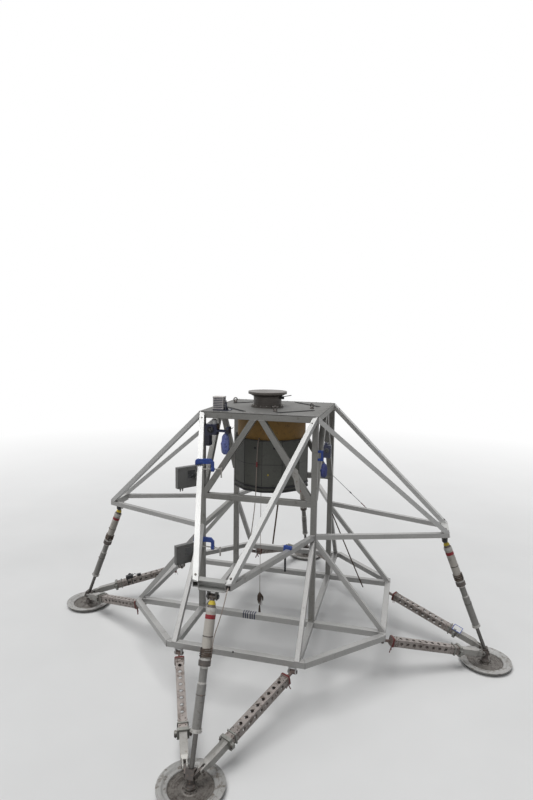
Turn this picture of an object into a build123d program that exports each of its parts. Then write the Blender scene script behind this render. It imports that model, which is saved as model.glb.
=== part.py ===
from build123d import *
import os
from math import atan2, cos, degrees, hypot, sin, sqrt, tan, radians

os.makedirs("parts", exist_ok=True)

# Full-size landing test model of a four-legged lunar lander, in millimetres.
# The floor is Z = 0 under the footpads, +Z is up, and the middle of the frame is X = Y = 0.
# The front leg points along -Y, the right leg along +X.

# Square tube of the welded frame
tube = 50
half_tube = tube / 2

# Lighter square tube of the outriggers and of the diagonals
outrigger_tube = 40
outrigger_wall = 3
tube_open_depth = 80
half_outrigger = outrigger_tube / 2

# Central frame, to the centre lines of its tubes
frame_half = 505
deck_z = 2230
mid_beam_z = 1480
level_z = 1196
base_z = 412
vee_spread = 40

# Octagonal base frame
octagon_half = 1117
octagon_corner = frame_half + 55

# Outriggers and the brackets that they carry
outrigger_inset = 3
bracket_reach = 1640
bracket_half = 118
sloping_lip = 8
bracket_depth = 58
bracket_height = 64
bracket_wall = 6
bracket_lip = 12

# Landing leg joints: reach from the middle, then height
strut_pin_reach = bracket_reach - 28
strut_pin_z = 1112
foot_reach = 2010
foot_joint_z = 112
brace_pin_half = frame_half - 35
brace_pin_reach = octagon_half
brace_pin_z = 338
brace_foot_half = 56
brace_foot_reach = foot_reach - 35
brace_foot_z = 122

# Levels and planes that several pieces share
base_top = base_z + half_tube
base_under = base_z - half_tube
beam_under = deck_z - tube
level_top = level_z + half_outrigger
level_under = level_z - half_outrigger
post_face = frame_half + half_tube
octagon_face = octagon_half + half_tube

# Vertical section through the front leg: local X runs outward, local Y runs up
leg_section = Plane(origin=(0, 0, 0), x_dir=(0, -1, 0), z_dir=(-1, 0, 0))


# Corner posts, from the base frame to the top beams
with BuildPart() as corner_posts:
    with BuildSketch(Plane.XY.offset(base_top)):
        with GridLocations(2 * frame_half, 2 * frame_half, 2, 2):
            Rectangle(tube, tube)
    extrude(amount=beam_under - base_top)

corner_posts.part.label = "corner_posts"
export_step(corner_posts.part, "parts/corner_posts.step")

# Top beams at the front and back run the full width
with BuildPart() as top_beams_long:
    with BuildSketch(Plane.XY.offset(beam_under)):
        with GridLocations(0, 2 * frame_half, 1, 2):
            Rectangle(2 * post_face, tube)
    extrude(amount=tube)

top_beams_long.part.label = "top_beams_long"
export_step(top_beams_long.part, "parts/top_beams_long.step")

# Top beams at the sides fit between them
with BuildPart() as top_beams_short:
    with BuildSketch(Plane.XY.offset(beam_under)):
        with GridLocations(2 * frame_half, 0, 2, 1):
            Rectangle(tube, 2 * (frame_half - half_tube))
    extrude(amount=tube)

top_beams_short.part.label = "top_beams_short"
export_step(top_beams_short.part, "parts/top_beams_short.step")

# Middle beams of the front and back faces, between the posts
post_inside = frame_half - half_tube
mid_beam_top = mid_beam_z + half_tube
with BuildPart() as mid_beams:
    with BuildSketch(Plane.XY.offset(mid_beam_z - half_tube)):
        with GridLocations(0, 2 * frame_half, 1, 2):
            Rectangle(2 * post_inside, tube)
    extrude(amount=tube)

mid_beams.part.label = "mid_beams"
export_step(mid_beams.part, "parts/mid_beams.step")

# One beam ties the two left posts at the level of the outriggers
with BuildPart() as side_beam:
    with BuildSketch(Plane.XY.offset(level_under)):
        with Locations((-frame_half, 0)):
            Rectangle(outrigger_tube, 2 * post_inside)
    extrude(amount=outrigger_tube)

side_beam.part.label = "side_beam"
export_step(side_beam.part, "parts/side_beam.step")

# Inverted V braces in the four faces, from the top beams down onto the posts
vee_angle = atan2(beam_under - mid_beam_top, post_inside - vee_spread)
vee_across = half_tube / sin(vee_angle)
vee_down = half_tube / cos(vee_angle)
with BuildPart() as front_vee:
    with BuildSketch(Plane.XZ.offset(post_inside)):
        with BuildLine():
            Polyline(
                (vee_spread - vee_across, beam_under),
                (vee_spread + vee_across, beam_under),
                (post_inside, mid_beam_top + vee_down),
                (post_inside, mid_beam_top),
                (post_inside - vee_across, mid_beam_top),
                close=True,
            )
        make_face()
        mirror(about=Plane.YZ)
    extrude(amount=tube)

with BuildPart() as vee_braces:
    with PolarLocations(0, 4):
        add(front_vee.part)

vee_braces.part.label = "vee_braces"
export_step(vee_braces.part, "parts/vee_braces.step")

# Base frame: four bars of the octagon face the legs, with mitred ends
mitre = half_tube * tan(radians(22.5))
with BuildPart() as octagon_leg_bars:
    with BuildSketch(Plane.XY.offset(base_under)):
        with PolarLocations(octagon_half, 4):
            Trapezoid(2 * (octagon_corner + mitre), tube, 67.5, rotation=90)
    extrude(amount=tube)

octagon_leg_bars.part.label = "octagon_leg_bars"
export_step(octagon_leg_bars.part, "parts/octagon_leg_bars.step")

# Four more bars close the octagon at its corners
corner_bar_half = (octagon_half - octagon_corner) / sqrt(2)
corner_bar_radius = (octagon_half + octagon_corner) / sqrt(2)
with BuildPart() as octagon_corner_bars:
    with BuildSketch(Plane.XY.offset(base_under)):
        with PolarLocations(corner_bar_radius, 4, start_angle=45):
            Trapezoid(2 * (corner_bar_half + mitre), tube, 67.5, rotation=90)
    extrude(amount=tube)

octagon_corner_bars.part.label = "octagon_corner_bars"
export_step(octagon_corner_bars.part, "parts/octagon_corner_bars.step")

# Bars that cross the octagon under the posts: two whole ones
octagon_inside = octagon_half - half_tube
with BuildPart() as cross_bars_whole:
    with BuildSketch(Plane.XY.offset(base_under)):
        with GridLocations(0, 2 * frame_half, 1, 2):
            Rectangle(2 * octagon_inside, tube)
    extrude(amount=tube)

cross_bars_whole.part.label = "cross_bars_whole"
export_step(cross_bars_whole.part, "parts/cross_bars_whole.step")

# and two that are cut where they meet the whole ones
end_piece = octagon_inside - post_face
with BuildPart() as cross_bars_cut:
    with BuildSketch(Plane.XY.offset(base_under)):
        with GridLocations(2 * frame_half, 0, 2, 1):
            Rectangle(tube, 2 * post_inside)
        with GridLocations(2 * frame_half, post_face + octagon_inside, 2, 2):
            Rectangle(tube, end_piece)
    extrude(amount=tube)

cross_bars_cut.part.label = "cross_bars_cut"
export_step(cross_bars_cut.part, "parts/cross_bars_cut.step")

# Diagonals from the posts down to the edge of the base frame
diagonal_angle = atan2(level_under - base_top, octagon_face - post_face)
diagonal_across = outrigger_tube / sin(diagonal_angle)
diagonal_down = outrigger_tube / cos(diagonal_angle)
with BuildPart() as front_diagonals:
    for side in (-frame_half, frame_half):
        with BuildSketch(leg_section.offset(side)):
            with BuildLine():
                Polyline(
                    (post_face, level_under),
                    (octagon_face, base_top),
                    (octagon_face - diagonal_across, base_top),
                    (post_face, level_under - diagonal_down),
                    close=True,
                )
            make_face()
        extrude(amount=half_outrigger, both=True)

with BuildPart() as diagonals:
    with PolarLocations(0, 4):
        add(front_diagonals.part)

diagonals.part.label = "diagonals"
export_step(diagonals.part, "parts/diagonals.step")

# Level outriggers: one tube on each side of a leg, open at the bracket
plan_run = bracket_reach - post_face
plan_shift = frame_half - outrigger_inset - bracket_half
plan_angle = atan2(plan_shift, plan_run)
plan_half_width = half_outrigger / cos(plan_angle)
bore_half = half_outrigger - outrigger_wall
bore_half_width = bore_half / cos(plan_angle)
bore_shift = tube_open_depth * tan(plan_angle)
with BuildPart() as front_level_outriggers:
    with BuildSketch(Plane.XY.offset(level_under)):
        with BuildLine():
            Polyline(
                (bracket_half - plan_half_width, -bracket_reach),
                (bracket_half + plan_half_width, -bracket_reach),
                (bracket_half + plan_shift + plan_half_width, -post_face),
                (bracket_half + plan_shift - plan_half_width, -post_face),
                close=True,
            )
        make_face()
    extrude(amount=outrigger_tube)
    with BuildSketch(Plane.XY.offset(level_z - bore_half)):
        with BuildLine():
            Polyline(
                (bracket_half - bore_half_width, -bracket_reach),
                (bracket_half + bore_half_width, -bracket_reach),
                (bracket_half + bore_shift + bore_half_width, tube_open_depth - bracket_reach),
                (bracket_half + bore_shift - bore_half_width, tube_open_depth - bracket_reach),
                close=True,
            )
        make_face()
    extrude(amount=2 * bore_half, mode=Mode.SUBTRACT)
    mirror(about=Plane.YZ)

with BuildPart() as level_outriggers:
    with PolarLocations(0, 4):
        add(front_level_outriggers.part)

level_outriggers.part.label = "level_outriggers"
export_step(level_outriggers.part, "parts/level_outriggers.step")

# Sloping outriggers, from the top corners down onto the level ones
outrigger_span = hypot(plan_run, plan_shift)
slope = (deck_z - level_top - sloping_lip) / outrigger_span
slope_angle = atan2(slope, 1)
slope_thickness = outrigger_tube / cos(slope_angle)
outrigger_section = Plane(
    origin=(bracket_half, -bracket_reach, level_top + sloping_lip),
    x_dir=(sin(plan_angle), cos(plan_angle), 0),
    z_dir=(cos(plan_angle), -sin(plan_angle), 0),
)
overrun = 2 * outrigger_tube
with BuildPart() as front_sloping_outriggers:
    with BuildSketch(outrigger_section):
        with BuildLine():
            Polyline(
                (-overrun, -overrun * slope),
                (outrigger_span + overrun, (outrigger_span + overrun) * slope),
                (outrigger_span + overrun, (outrigger_span + overrun) * slope - slope_thickness),
                (-overrun, -overrun * slope - slope_thickness),
                close=True,
            )
        make_face()
    extrude(amount=half_outrigger, both=True)
    split(bisect_by=Plane.XZ.offset(post_face), keep=Keep.TOP)
    split(bisect_by=Plane.XZ.offset(bracket_reach), keep=Keep.BOTTOM)
    split(bisect_by=Plane.XY.offset(level_top), keep=Keep.TOP)
    mirror(about=Plane.YZ)

with BuildPart() as sloping_outriggers:
    with PolarLocations(0, 4):
        add(front_sloping_outriggers.part)

sloping_outriggers.part.label = "sloping_outriggers"
export_step(sloping_outriggers.part, "parts/sloping_outriggers.step")

# Bracket at the outer end of the outriggers: a channel between them, open outward
bracket_top = level_z + bracket_height / 2
bracket_under = level_z - bracket_height / 2
bracket_inner = bracket_reach - bracket_depth
right_tube_side = Plane(
    origin=(bracket_half - plan_half_width, -bracket_reach, 0),
    x_dir=(sin(plan_angle), cos(plan_angle), 0),
    z_dir=(cos(plan_angle), -sin(plan_angle), 0),
)
left_tube_side = Plane(
    origin=(plan_half_width - bracket_half, -bracket_reach, 0),
    x_dir=(-sin(plan_angle), cos(plan_angle), 0),
    z_dir=(-cos(plan_angle), -sin(plan_angle), 0),
)
with BuildPart() as front_bracket:
    with BuildSketch(leg_section):
        with BuildLine():
            Polyline(
                (bracket_reach, bracket_top),
                (bracket_inner, bracket_top),
                (bracket_inner, bracket_under),
                (bracket_reach + bracket_lip, bracket_under),
                (bracket_reach + bracket_lip, bracket_under + bracket_wall),
                (bracket_inner + bracket_wall, bracket_under + bracket_wall),
                (bracket_inner + bracket_wall, bracket_top - bracket_wall),
                (bracket_reach, bracket_top - bracket_wall),
                close=True,
            )
        make_face()
    extrude(amount=2 * bracket_half, both=True)
    split(bisect_by=right_tube_side, keep=Keep.BOTTOM)
    split(bisect_by=left_tube_side, keep=Keep.BOTTOM)

with BuildPart() as leg_brackets:
    with PolarLocations(0, 4):
        add(front_bracket.part)

leg_brackets.part.label = "leg_brackets"
export_step(leg_brackets.part, "parts/leg_brackets.step")

# Yoke lugs under the bracket, which hold the head of the shock strut between them
yoke_gap = 50
yoke_lug = 9
yoke_radius = 24
yoke_corner = 14
with BuildPart() as front_yoke:
    for side in (yoke_gap / 2, -yoke_gap / 2 - yoke_lug):
        with BuildSketch(leg_section.offset(side)):
            with BuildLine():
                Polyline(
                    (strut_pin_reach - yoke_radius, bracket_under),
                    (strut_pin_reach - yoke_radius, strut_pin_z - yoke_radius + yoke_corner),
                    (strut_pin_reach - yoke_radius + yoke_corner, strut_pin_z - yoke_radius),
                    (strut_pin_reach + yoke_radius - yoke_corner, strut_pin_z - yoke_radius),
                    (strut_pin_reach + yoke_radius, strut_pin_z - yoke_radius + yoke_corner),
                    (strut_pin_reach + yoke_radius, bracket_under),
                    close=True,
                )
            make_face()
        extrude(amount=yoke_lug)

with BuildPart() as strut_yokes:
    with PolarLocations(0, 4):
        add(front_yoke.part)

strut_yokes.part.label = "strut_yokes"
export_step(strut_yokes.part, "parts/strut_yokes.step")

# Heads of the bolt through each yoke
pin_head = 10
pin_head_radius = 16
yoke_outside = yoke_gap / 2 + yoke_lug
with BuildPart() as front_strut_bolts:
    with BuildSketch(leg_section.offset(yoke_outside)):
        with Locations((strut_pin_reach, strut_pin_z)):
            RegularPolygon(pin_head_radius, 6)
    extrude(amount=pin_head)
    mirror(about=Plane.YZ)

with BuildPart() as strut_bolts:
    with PolarLocations(0, 4):
        add(front_strut_bolts.part)

strut_bolts.part.label = "strut_bolts"
export_step(strut_bolts.part, "parts/strut_bolts.step")

# Shock strut: local X is the radius, local Y the distance down the strut from its pin
strut_start = Vector(0, -strut_pin_reach, strut_pin_z)
strut_run = Vector(0, -foot_reach, foot_joint_z) - strut_start
strut_length = strut_run.length
strut_way = strut_run.normalized()
strut_section = Plane(origin=strut_start, x_dir=(1, 0, 0), z_dir=Vector(1, 0, 0).cross(strut_way))
strut_axis = Axis(strut_start, strut_way)

head_radius = 16
head_eye_radius = 19
eye_sides = 10
cone_start = 26
cylinder_start = 72
cylinder_radius = 35
collar_start = 405
collar_length = 34
collar_radius = 42
tube_radius = 27
sleeve_start = 552
sleeve_radius = 31
ring_start = 816
ring_length = 22
ring_radius = 36
rod_radius = 16
ring_end = ring_start + ring_length
rod_end = strut_length - 32

# Strut heads: an eye between the lugs of the yoke, with a cone below it
with BuildPart() as front_strut_head:
    with BuildSketch(strut_section):
        with BuildLine():
            Polyline(
                (0, 0),
                (head_radius, 0),
                (head_radius, cone_start),
                (cylinder_radius - 4, cylinder_start),
                (0, cylinder_start),
                close=True,
            )
        make_face()
    revolve(axis=strut_axis)
    with BuildSketch(leg_section):
        with Locations((strut_pin_reach, strut_pin_z)):
            RegularPolygon(head_eye_radius, eye_sides)
    extrude(amount=yoke_gap / 2, both=True)

with BuildPart() as strut_heads:
    with PolarLocations(0, 4):
        add(front_strut_head.part)

strut_heads.part.label = "strut_heads"
export_step(strut_heads.part, "parts/strut_heads.step")

# The turned pieces below the head, each a plain cylinder: name, radius, start, end
strut_pieces = (
    ("strut_cylinders", cylinder_radius, cylinder_start, collar_start),
    ("strut_collars", collar_radius, collar_start, collar_start + collar_length),
    ("strut_tubes", tube_radius, collar_start + collar_length, sleeve_start),
    ("strut_sleeves", sleeve_radius, sleeve_start, ring_start),
    ("strut_rings", ring_radius, ring_start, ring_end),
    ("strut_rods", rod_radius, ring_end, rod_end),
)
for name, radius, start, end in strut_pieces:
    with BuildPart() as front_strut_piece:
        with BuildSketch(strut_section):
            with Locations((radius / 2, (start + end) / 2)):
                Rectangle(radius, end - start)
        revolve(axis=strut_axis)
    with BuildPart() as strut_piece:
        with PolarLocations(0, 4):
            add(front_strut_piece.part)
    strut_piece.part.label = name
    export_step(strut_piece.part, "parts/" + name + ".step")

# Footpads: round dishes with a wide rim and a stepped floor
pad_radius = 225
pad_height = 40
pad_base_radius = 198
pad_floor = 12
hub_radius = 40
hub_height = 34
with BuildPart() as front_footpad:
    with BuildSketch(leg_section):
        with BuildLine():
            Polyline(
                (foot_reach, 0),
                (foot_reach + pad_base_radius, 0),
                (foot_reach + pad_radius, pad_height),
                (foot_reach + pad_radius - 36, pad_height),
                (foot_reach + pad_radius - 72, pad_floor),
                (foot_reach + hub_radius, pad_floor),
                (foot_reach + hub_radius, hub_height),
                (foot_reach, hub_height),
                close=True,
            )
        make_face()
    revolve(axis=Axis((0, -foot_reach, 0), (0, 0, 1)))

with BuildPart() as footpads:
    with PolarLocations(0, 4):
        add(front_footpad.part)

footpads.part.label = "footpads"
export_step(footpads.part, "parts/footpads.step")

# Side struts run from hangers under the base frame to the foot joint
brace_start = Vector(brace_pin_half, -brace_pin_reach, brace_pin_z)
brace_foot = Vector(brace_foot_half, -brace_foot_reach, brace_foot_z)
brace_run = brace_foot - brace_start
brace_length = brace_run.length
brace_way = brace_run.normalized()
brace_plan = hypot(brace_way.X, brace_way.Y)
brace_level = Vector(-brace_way.Y / brace_plan, brace_way.X / brace_plan, 0)

# Cross section of the right strut, and its side view with local X along the strut
brace_plane = Plane(origin=brace_start, x_dir=brace_level, z_dir=brace_way)
brace_side = Plane(origin=brace_start, x_dir=brace_way, z_dir=brace_level)

# Side view across it, with local X along the strut and the top face toward +Z
brace_top = Plane(origin=brace_start, x_dir=brace_way, z_dir=brace_way.cross(brace_level))

hanger_width = 58
hanger_gap = 44
hanger_plate = 10
hanger_depth = 44
hanger_radius = 18
hanger_corner = 10
brace_bolt_radius = 13
brace_bolt_head = 8
foot_bolt_radius = 11
foot_bolt_head = 5
brace_eye_radius = 18
brace_neck = 18
brace_cap = 74
brace_cap_corner = 7
brace_cap_start = 76
brace_cap_end = 102
brace_box = 64
brace_box_wall = 5
brace_box_end = 722
brace_collar = 86
brace_collar_ears = 124
brace_collar_ear = 38
brace_collar_length = 24
brace_flange = 80
brace_flange_back = 46
brace_flange_length = 10
slide_gap = 0.3
slide_overlap = 110
slide_taper_start = 64
slide_taper_end = 40
slide_tip = 38
fork_slot = 16
fork_depth = 36
fork_corner = 11
brace_hole_count = 8
brace_hole_start = 165
brace_hole_pitch = 61
brace_hole_radius = 15.5
brace_hole_sides = 6

# Foot joints: a turned stem on the pad's hub, a block for the strut rod and two lugs
joint_half = 29
joint_below = 26
stem_radius = 24
lug_radius = 17
lug_corner = 9
lug_tail = 62
with BuildPart() as front_foot_joint:
    with BuildSketch(leg_section):
        with BuildLine():
            Polyline(
                (foot_reach, hub_height),
                (foot_reach + hub_radius - 6, hub_height),
                (foot_reach + stem_radius, hub_height + 18),
                (foot_reach + stem_radius, foot_joint_z - joint_below),
                (foot_reach, foot_joint_z - joint_below),
                close=True,
            )
        make_face()
    revolve(axis=Axis((0, -foot_reach, 0), (0, 0, 1)))
    with BuildSketch(strut_section.offset(-joint_half)):
        with Locations((0, (rod_end + strut_length + joint_below) / 2)):
            Rectangle(2 * joint_half, strut_length + joint_below - rod_end)
    extrude(amount=2 * joint_half)
    with BuildSketch(brace_side.offset(-fork_slot / 2)):
        with BuildLine():
            Polyline(
                (brace_length - lug_radius, lug_radius - lug_corner),
                (brace_length - lug_radius + lug_corner, lug_radius),
                (brace_length + lug_tail, lug_radius),
                (brace_length + lug_tail, -lug_radius),
                (brace_length - lug_radius + lug_corner, -lug_radius),
                (brace_length - lug_radius, lug_corner - lug_radius),
                close=True,
            )
        make_face()
    extrude(amount=fork_slot)
    mirror(about=Plane.YZ)

with BuildPart() as foot_joints:
    with PolarLocations(0, 4):
        add(front_foot_joint.part)

foot_joints.part.label = "foot_joints"
export_step(foot_joints.part, "parts/foot_joints.step")

# Hangers: forks under the octagon bars
hanger_foot = brace_pin_z - hanger_radius
with BuildPart() as front_hangers:
    with BuildSketch(leg_section.offset(-brace_pin_half)):
        with Locations((brace_pin_reach, base_under - hanger_plate / 2)):
            Rectangle(hanger_depth, hanger_plate)
    extrude(amount=hanger_width / 2, both=True)
    with BuildSketch(leg_section.offset(-brace_pin_half)):
        with BuildLine():
            Polyline(
                (brace_pin_reach - hanger_radius, base_under - hanger_plate),
                (brace_pin_reach - hanger_radius, hanger_foot + hanger_corner),
                (brace_pin_reach - hanger_radius + hanger_corner, hanger_foot),
                (brace_pin_reach + hanger_radius - hanger_corner, hanger_foot),
                (brace_pin_reach + hanger_radius, hanger_foot + hanger_corner),
                (brace_pin_reach + hanger_radius, base_under - hanger_plate),
                close=True,
            )
        make_face()
    extrude(amount=hanger_width / 2, both=True)
    with BuildSketch(leg_section.offset(-brace_pin_half)):
        with Locations((brace_pin_reach, (base_under - hanger_plate) / 2)):
            Rectangle(2 * hanger_depth, base_under - hanger_plate)
    extrude(amount=hanger_gap / 2, both=True, mode=Mode.SUBTRACT)
    mirror(about=Plane.YZ)

with BuildPart() as brace_hangers:
    with PolarLocations(0, 4):
        add(front_hangers.part)

brace_hangers.part.label = "brace_hangers"
export_step(brace_hangers.part, "parts/brace_hangers.step")

# Bolt heads at both ends of the side struts
with BuildPart() as front_brace_bolts:
    for side in (hanger_width / 2, -hanger_width / 2 - brace_bolt_head):
        with BuildSketch(leg_section.offset(side - brace_pin_half)):
            with Locations((brace_pin_reach, brace_pin_z)):
                RegularPolygon(brace_bolt_radius, 6)
        extrude(amount=brace_bolt_head)
    for side in (slide_tip / 2, -slide_tip / 2 - foot_bolt_head):
        with BuildSketch(brace_side.offset(side)):
            with Locations((brace_length, 0)):
                RegularPolygon(foot_bolt_radius, 6)
        extrude(amount=foot_bolt_head)
    mirror(about=Plane.YZ)

with BuildPart() as brace_bolts:
    with PolarLocations(0, 4):
        add(front_brace_bolts.part)

brace_bolts.part.label = "brace_bolts"
export_step(brace_bolts.part, "parts/brace_bolts.step")

# Heads: an eye in the hanger, a neck, and the cap that closes the perforated box
with BuildPart() as front_brace_heads:
    with BuildSketch(brace_plane.offset(brace_cap_start)):
        Rectangle(brace_cap, brace_cap)
        chamfer(vertices(), length=brace_cap_corner)
    extrude(amount=brace_cap_end - brace_cap_start)
    with BuildSketch(brace_plane):
        Rectangle(brace_neck, brace_neck)
    extrude(amount=brace_cap_start)
    with BuildSketch(leg_section.offset(-brace_pin_half)):
        with Locations((brace_pin_reach, brace_pin_z)):
            RegularPolygon(brace_eye_radius, eye_sides)
    extrude(amount=hanger_gap / 2, both=True)
    mirror(about=Plane.YZ)

with BuildPart() as brace_heads:
    with PolarLocations(0, 4):
        add(front_brace_heads.part)

brace_heads.part.label = "brace_heads"
export_step(brace_heads.part, "parts/brace_heads.step")

# Perforated boxes, with the same row of holes through both pairs of walls
brace_bore = brace_box - 2 * brace_box_wall
hole_row = [(brace_hole_start + hole * brace_hole_pitch, 0) for hole in range(brace_hole_count)]
with BuildPart() as front_brace_boxes:
    with BuildSketch(brace_plane.offset(brace_cap_end)):
        Rectangle(brace_box, brace_box)
        Rectangle(brace_bore, brace_bore, mode=Mode.SUBTRACT)
    extrude(amount=brace_box_end - brace_cap_end)
    for view in (brace_side, brace_top):
        with BuildSketch(view):
            with Locations(*hole_row):
                RegularPolygon(brace_hole_radius, brace_hole_sides)
        extrude(amount=brace_box, both=True, mode=Mode.SUBTRACT)
    mirror(about=Plane.YZ)

with BuildPart() as brace_boxes:
    with PolarLocations(0, 4):
        add(front_brace_boxes.part)

brace_boxes.part.label = "brace_boxes"
export_step(brace_boxes.part, "parts/brace_boxes.step")

# Collars with bolted ears at the mouths of the boxes
brace_slide = brace_bore - 2 * slide_gap
with BuildPart() as front_brace_collars:
    with BuildSketch(brace_plane.offset(brace_box_end)):
        Rectangle(brace_collar, brace_collar)
        Rectangle(brace_collar_ears, brace_collar_ear)
        Rectangle(brace_bore, brace_bore, mode=Mode.SUBTRACT)
    extrude(amount=brace_collar_length)
    with BuildSketch(brace_plane.offset(brace_box_end - brace_flange_back)):
        Rectangle(brace_flange, brace_flange)
        Rectangle(brace_box, brace_box, mode=Mode.SUBTRACT)
    extrude(amount=brace_flange_length)
    mirror(about=Plane.YZ)

with BuildPart() as brace_collars:
    with PolarLocations(0, 4):
        add(front_brace_collars.part)

brace_collars.part.label = "brace_collars"
export_step(brace_collars.part, "parts/brace_collars.step")

# Inner slides, tapered to a fork round the lug of the foot joint
slide_half = slide_tip / 2
with BuildPart() as front_brace_slides:
    with BuildSketch(brace_plane.offset(brace_box_end - slide_overlap)):
        Rectangle(brace_slide, brace_slide)
    extrude(amount=brace_length - slide_taper_start - brace_box_end + slide_overlap)
    with BuildSketch(brace_plane.offset(brace_length - slide_taper_start)):
        Rectangle(brace_slide, brace_slide)
    with BuildSketch(brace_plane.offset(brace_length - slide_taper_end)):
        Rectangle(slide_tip, slide_tip)
    loft()
    with BuildSketch(brace_side.offset(-slide_half)):
        with BuildLine():
            Polyline(
                (brace_length - slide_taper_end, slide_half),
                (brace_length + slide_half - fork_corner, slide_half),
                (brace_length + slide_half, slide_half - fork_corner),
                (brace_length + slide_half, fork_corner - slide_half),
                (brace_length + slide_half - fork_corner, -slide_half),
                (brace_length - slide_taper_end, -slide_half),
                close=True,
            )
        make_face()
    extrude(amount=slide_tip)
    with BuildSketch(brace_side.offset(-fork_slot / 2)):
        with Locations((brace_length, 0)):
            Rectangle(2 * fork_depth, 2 * slide_tip)
    extrude(amount=fork_slot, mode=Mode.SUBTRACT)
    mirror(about=Plane.YZ)

with BuildPart() as brace_slides:
    with PolarLocations(0, 4):
        add(front_brace_slides.part)

brace_slides.part.label = "brace_slides"
export_step(brace_slides.part, "parts/brace_slides.step")

# Deck plate over the top beams, with four slots set diagonally
deck_plate = 8
deck_top = deck_z + deck_plate
deck_slot_radius = 0.8 * frame_half
deck_slot_length = 0.76 * frame_half
deck_slot_width = 20
with BuildPart() as deck:
    with BuildSketch(Plane.XY.offset(deck_z)):
        Rectangle(2 * post_face, 2 * post_face)
        with PolarLocations(deck_slot_radius, 4, start_angle=45):
            Rectangle(deck_slot_width, deck_slot_length, mode=Mode.SUBTRACT)
    extrude(amount=deck_plate)

deck.part.label = "deck"
export_step(deck.part, "parts/deck.step")

# Adapter in the middle of the deck: a flanged drum with a wide cap
adapter_shift = -45
adapter_flange_radius = 154
adapter_flange = 14
adapter_radius = 132
adapter_neck_top = 100
adapter_cap_radius = 183
adapter_cap_start = 124
adapter_height = 146
with BuildPart() as adapter_body:
    with BuildSketch(Plane(origin=(adapter_shift, 0, deck_top), x_dir=(1, 0, 0), z_dir=(0, -1, 0))):
        with BuildLine():
            Polyline(
                (0, 0),
                (adapter_flange_radius, 0),
                (adapter_flange_radius, adapter_flange),
                (adapter_radius, adapter_flange),
                (adapter_radius, adapter_neck_top),
                (adapter_cap_radius - 8, adapter_cap_start),
                (0, adapter_cap_start),
                close=True,
            )
        make_face()
    revolve(axis=Axis((adapter_shift, 0, 0), (0, 0, 1)))

adapter_body.part.label = "adapter_body"
export_step(adapter_body.part, "parts/adapter_body.step")

with BuildPart() as adapter_cap:
    with BuildSketch(Plane.XY.offset(deck_top + adapter_cap_start)):
        with Locations((adapter_shift, 0)):
            Circle(adapter_cap_radius)
    extrude(amount=adapter_height - adapter_cap_start)

adapter_cap.part.label = "adapter_cap"
export_step(adapter_cap.part, "parts/adapter_cap.step")

# Lifting eyes on the deck: place across, place along, turn of the ring
lifting_eye_places = ((-440, 240, 20), (382, 0, -30), (109, -325, 10), (-110, 350, 0))
eye_radius = 23
eye_hole = 12
eye_thickness = 11
eye_foot_radius = 20
eye_foot = 8
eye_z = deck_top + eye_foot + eye_radius - 3
with BuildPart() as lifting_eyes:
    for across, along, turn in lifting_eye_places:
        with BuildSketch(Plane.XY.offset(deck_top)):
            with Locations((across, along)):
                RegularPolygon(eye_foot_radius, eye_sides)
        extrude(amount=eye_foot)
        ring_plane = Plane(
            origin=(across, along, eye_z),
            x_dir=(cos(radians(turn)), sin(radians(turn)), 0),
            z_dir=(sin(radians(turn)), -cos(radians(turn)), 0),
        )
        with BuildSketch(ring_plane):
            RegularPolygon(eye_radius, eye_sides, rotation=18)
            Circle(eye_hole, mode=Mode.SUBTRACT)
        extrude(amount=eye_thickness / 2, both=True)

lifting_eyes.part.label = "lifting_eyes"
export_step(lifting_eyes.part, "parts/lifting_eyes.step")

# Small device near the front left corner of the deck, on a dark base plate
device_left = 65 - frame_half
device_front = 60 - frame_half
device_base_width = 158
device_base_depth = 105
device_base_height = 6
device_width = 98
device_depth = 78
device_height = 114
mast_width = 12
mast_height = 60
device_floor = deck_top + device_base_height
with BuildPart() as device_base:
    with BuildSketch(Plane.XY.offset(deck_top)):
        with Locations((device_left, device_front)):
            Rectangle(device_base_width, device_base_depth, align=(Align.MIN, Align.MIN))
    extrude(amount=device_base_height)

device_base.part.label = "device_base"
export_step(device_base.part, "parts/device_base.step")

with BuildPart() as deck_device:
    with BuildSketch(Plane.XY.offset(device_floor)):
        with Locations((device_left + 2, device_front + 14)):
            Rectangle(device_width, device_depth, align=(Align.MIN, Align.MIN))
    extrude(amount=device_height)

deck_device.part.label = "deck_device"
export_step(deck_device.part, "parts/deck_device.step")

with BuildPart() as device_mast:
    with BuildSketch(Plane.XY.offset(device_floor)):
        with Locations((device_left + device_width + 22, device_front + 40)):
            Rectangle(mast_width, mast_width)
    extrude(amount=mast_height)

device_mast.part.label = "device_mast"
export_step(device_mast.part, "parts/device_mast.step")

# Ring and many-sided drum that hang under the deck
deck_ring_radius = 322
deck_ring_under = 1972
drum_radius = 352
drum_sides = 12
drum_under = 1496
drum_band = 9
drum_band_height = 14
drum_band_places = (4, 42)
with BuildPart() as deck_ring:
    with BuildSketch(Plane.XY.offset(deck_ring_under)):
        Circle(deck_ring_radius)
    extrude(amount=deck_z - deck_ring_under)

deck_ring.part.label = "deck_ring"
export_step(deck_ring.part, "parts/deck_ring.step")

with BuildPart() as drum:
    with BuildSketch(Plane.XY.offset(drum_under)):
        RegularPolygon(drum_radius, drum_sides)
    extrude(amount=deck_ring_under - drum_under)

drum.part.label = "drum"
export_step(drum.part, "parts/drum.step")

with BuildPart() as drum_bands:
    for place in drum_band_places:
        with BuildSketch(Plane.XY.offset(drum_under + place)):
            RegularPolygon(drum_radius + drum_band, drum_sides)
            RegularPolygon(drum_radius, drum_sides, mode=Mode.SUBTRACT)
        extrude(amount=drum_band_height)

drum_bands.part.label = "drum_bands"
export_step(drum_bands.part, "parts/drum_bands.step")

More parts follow.
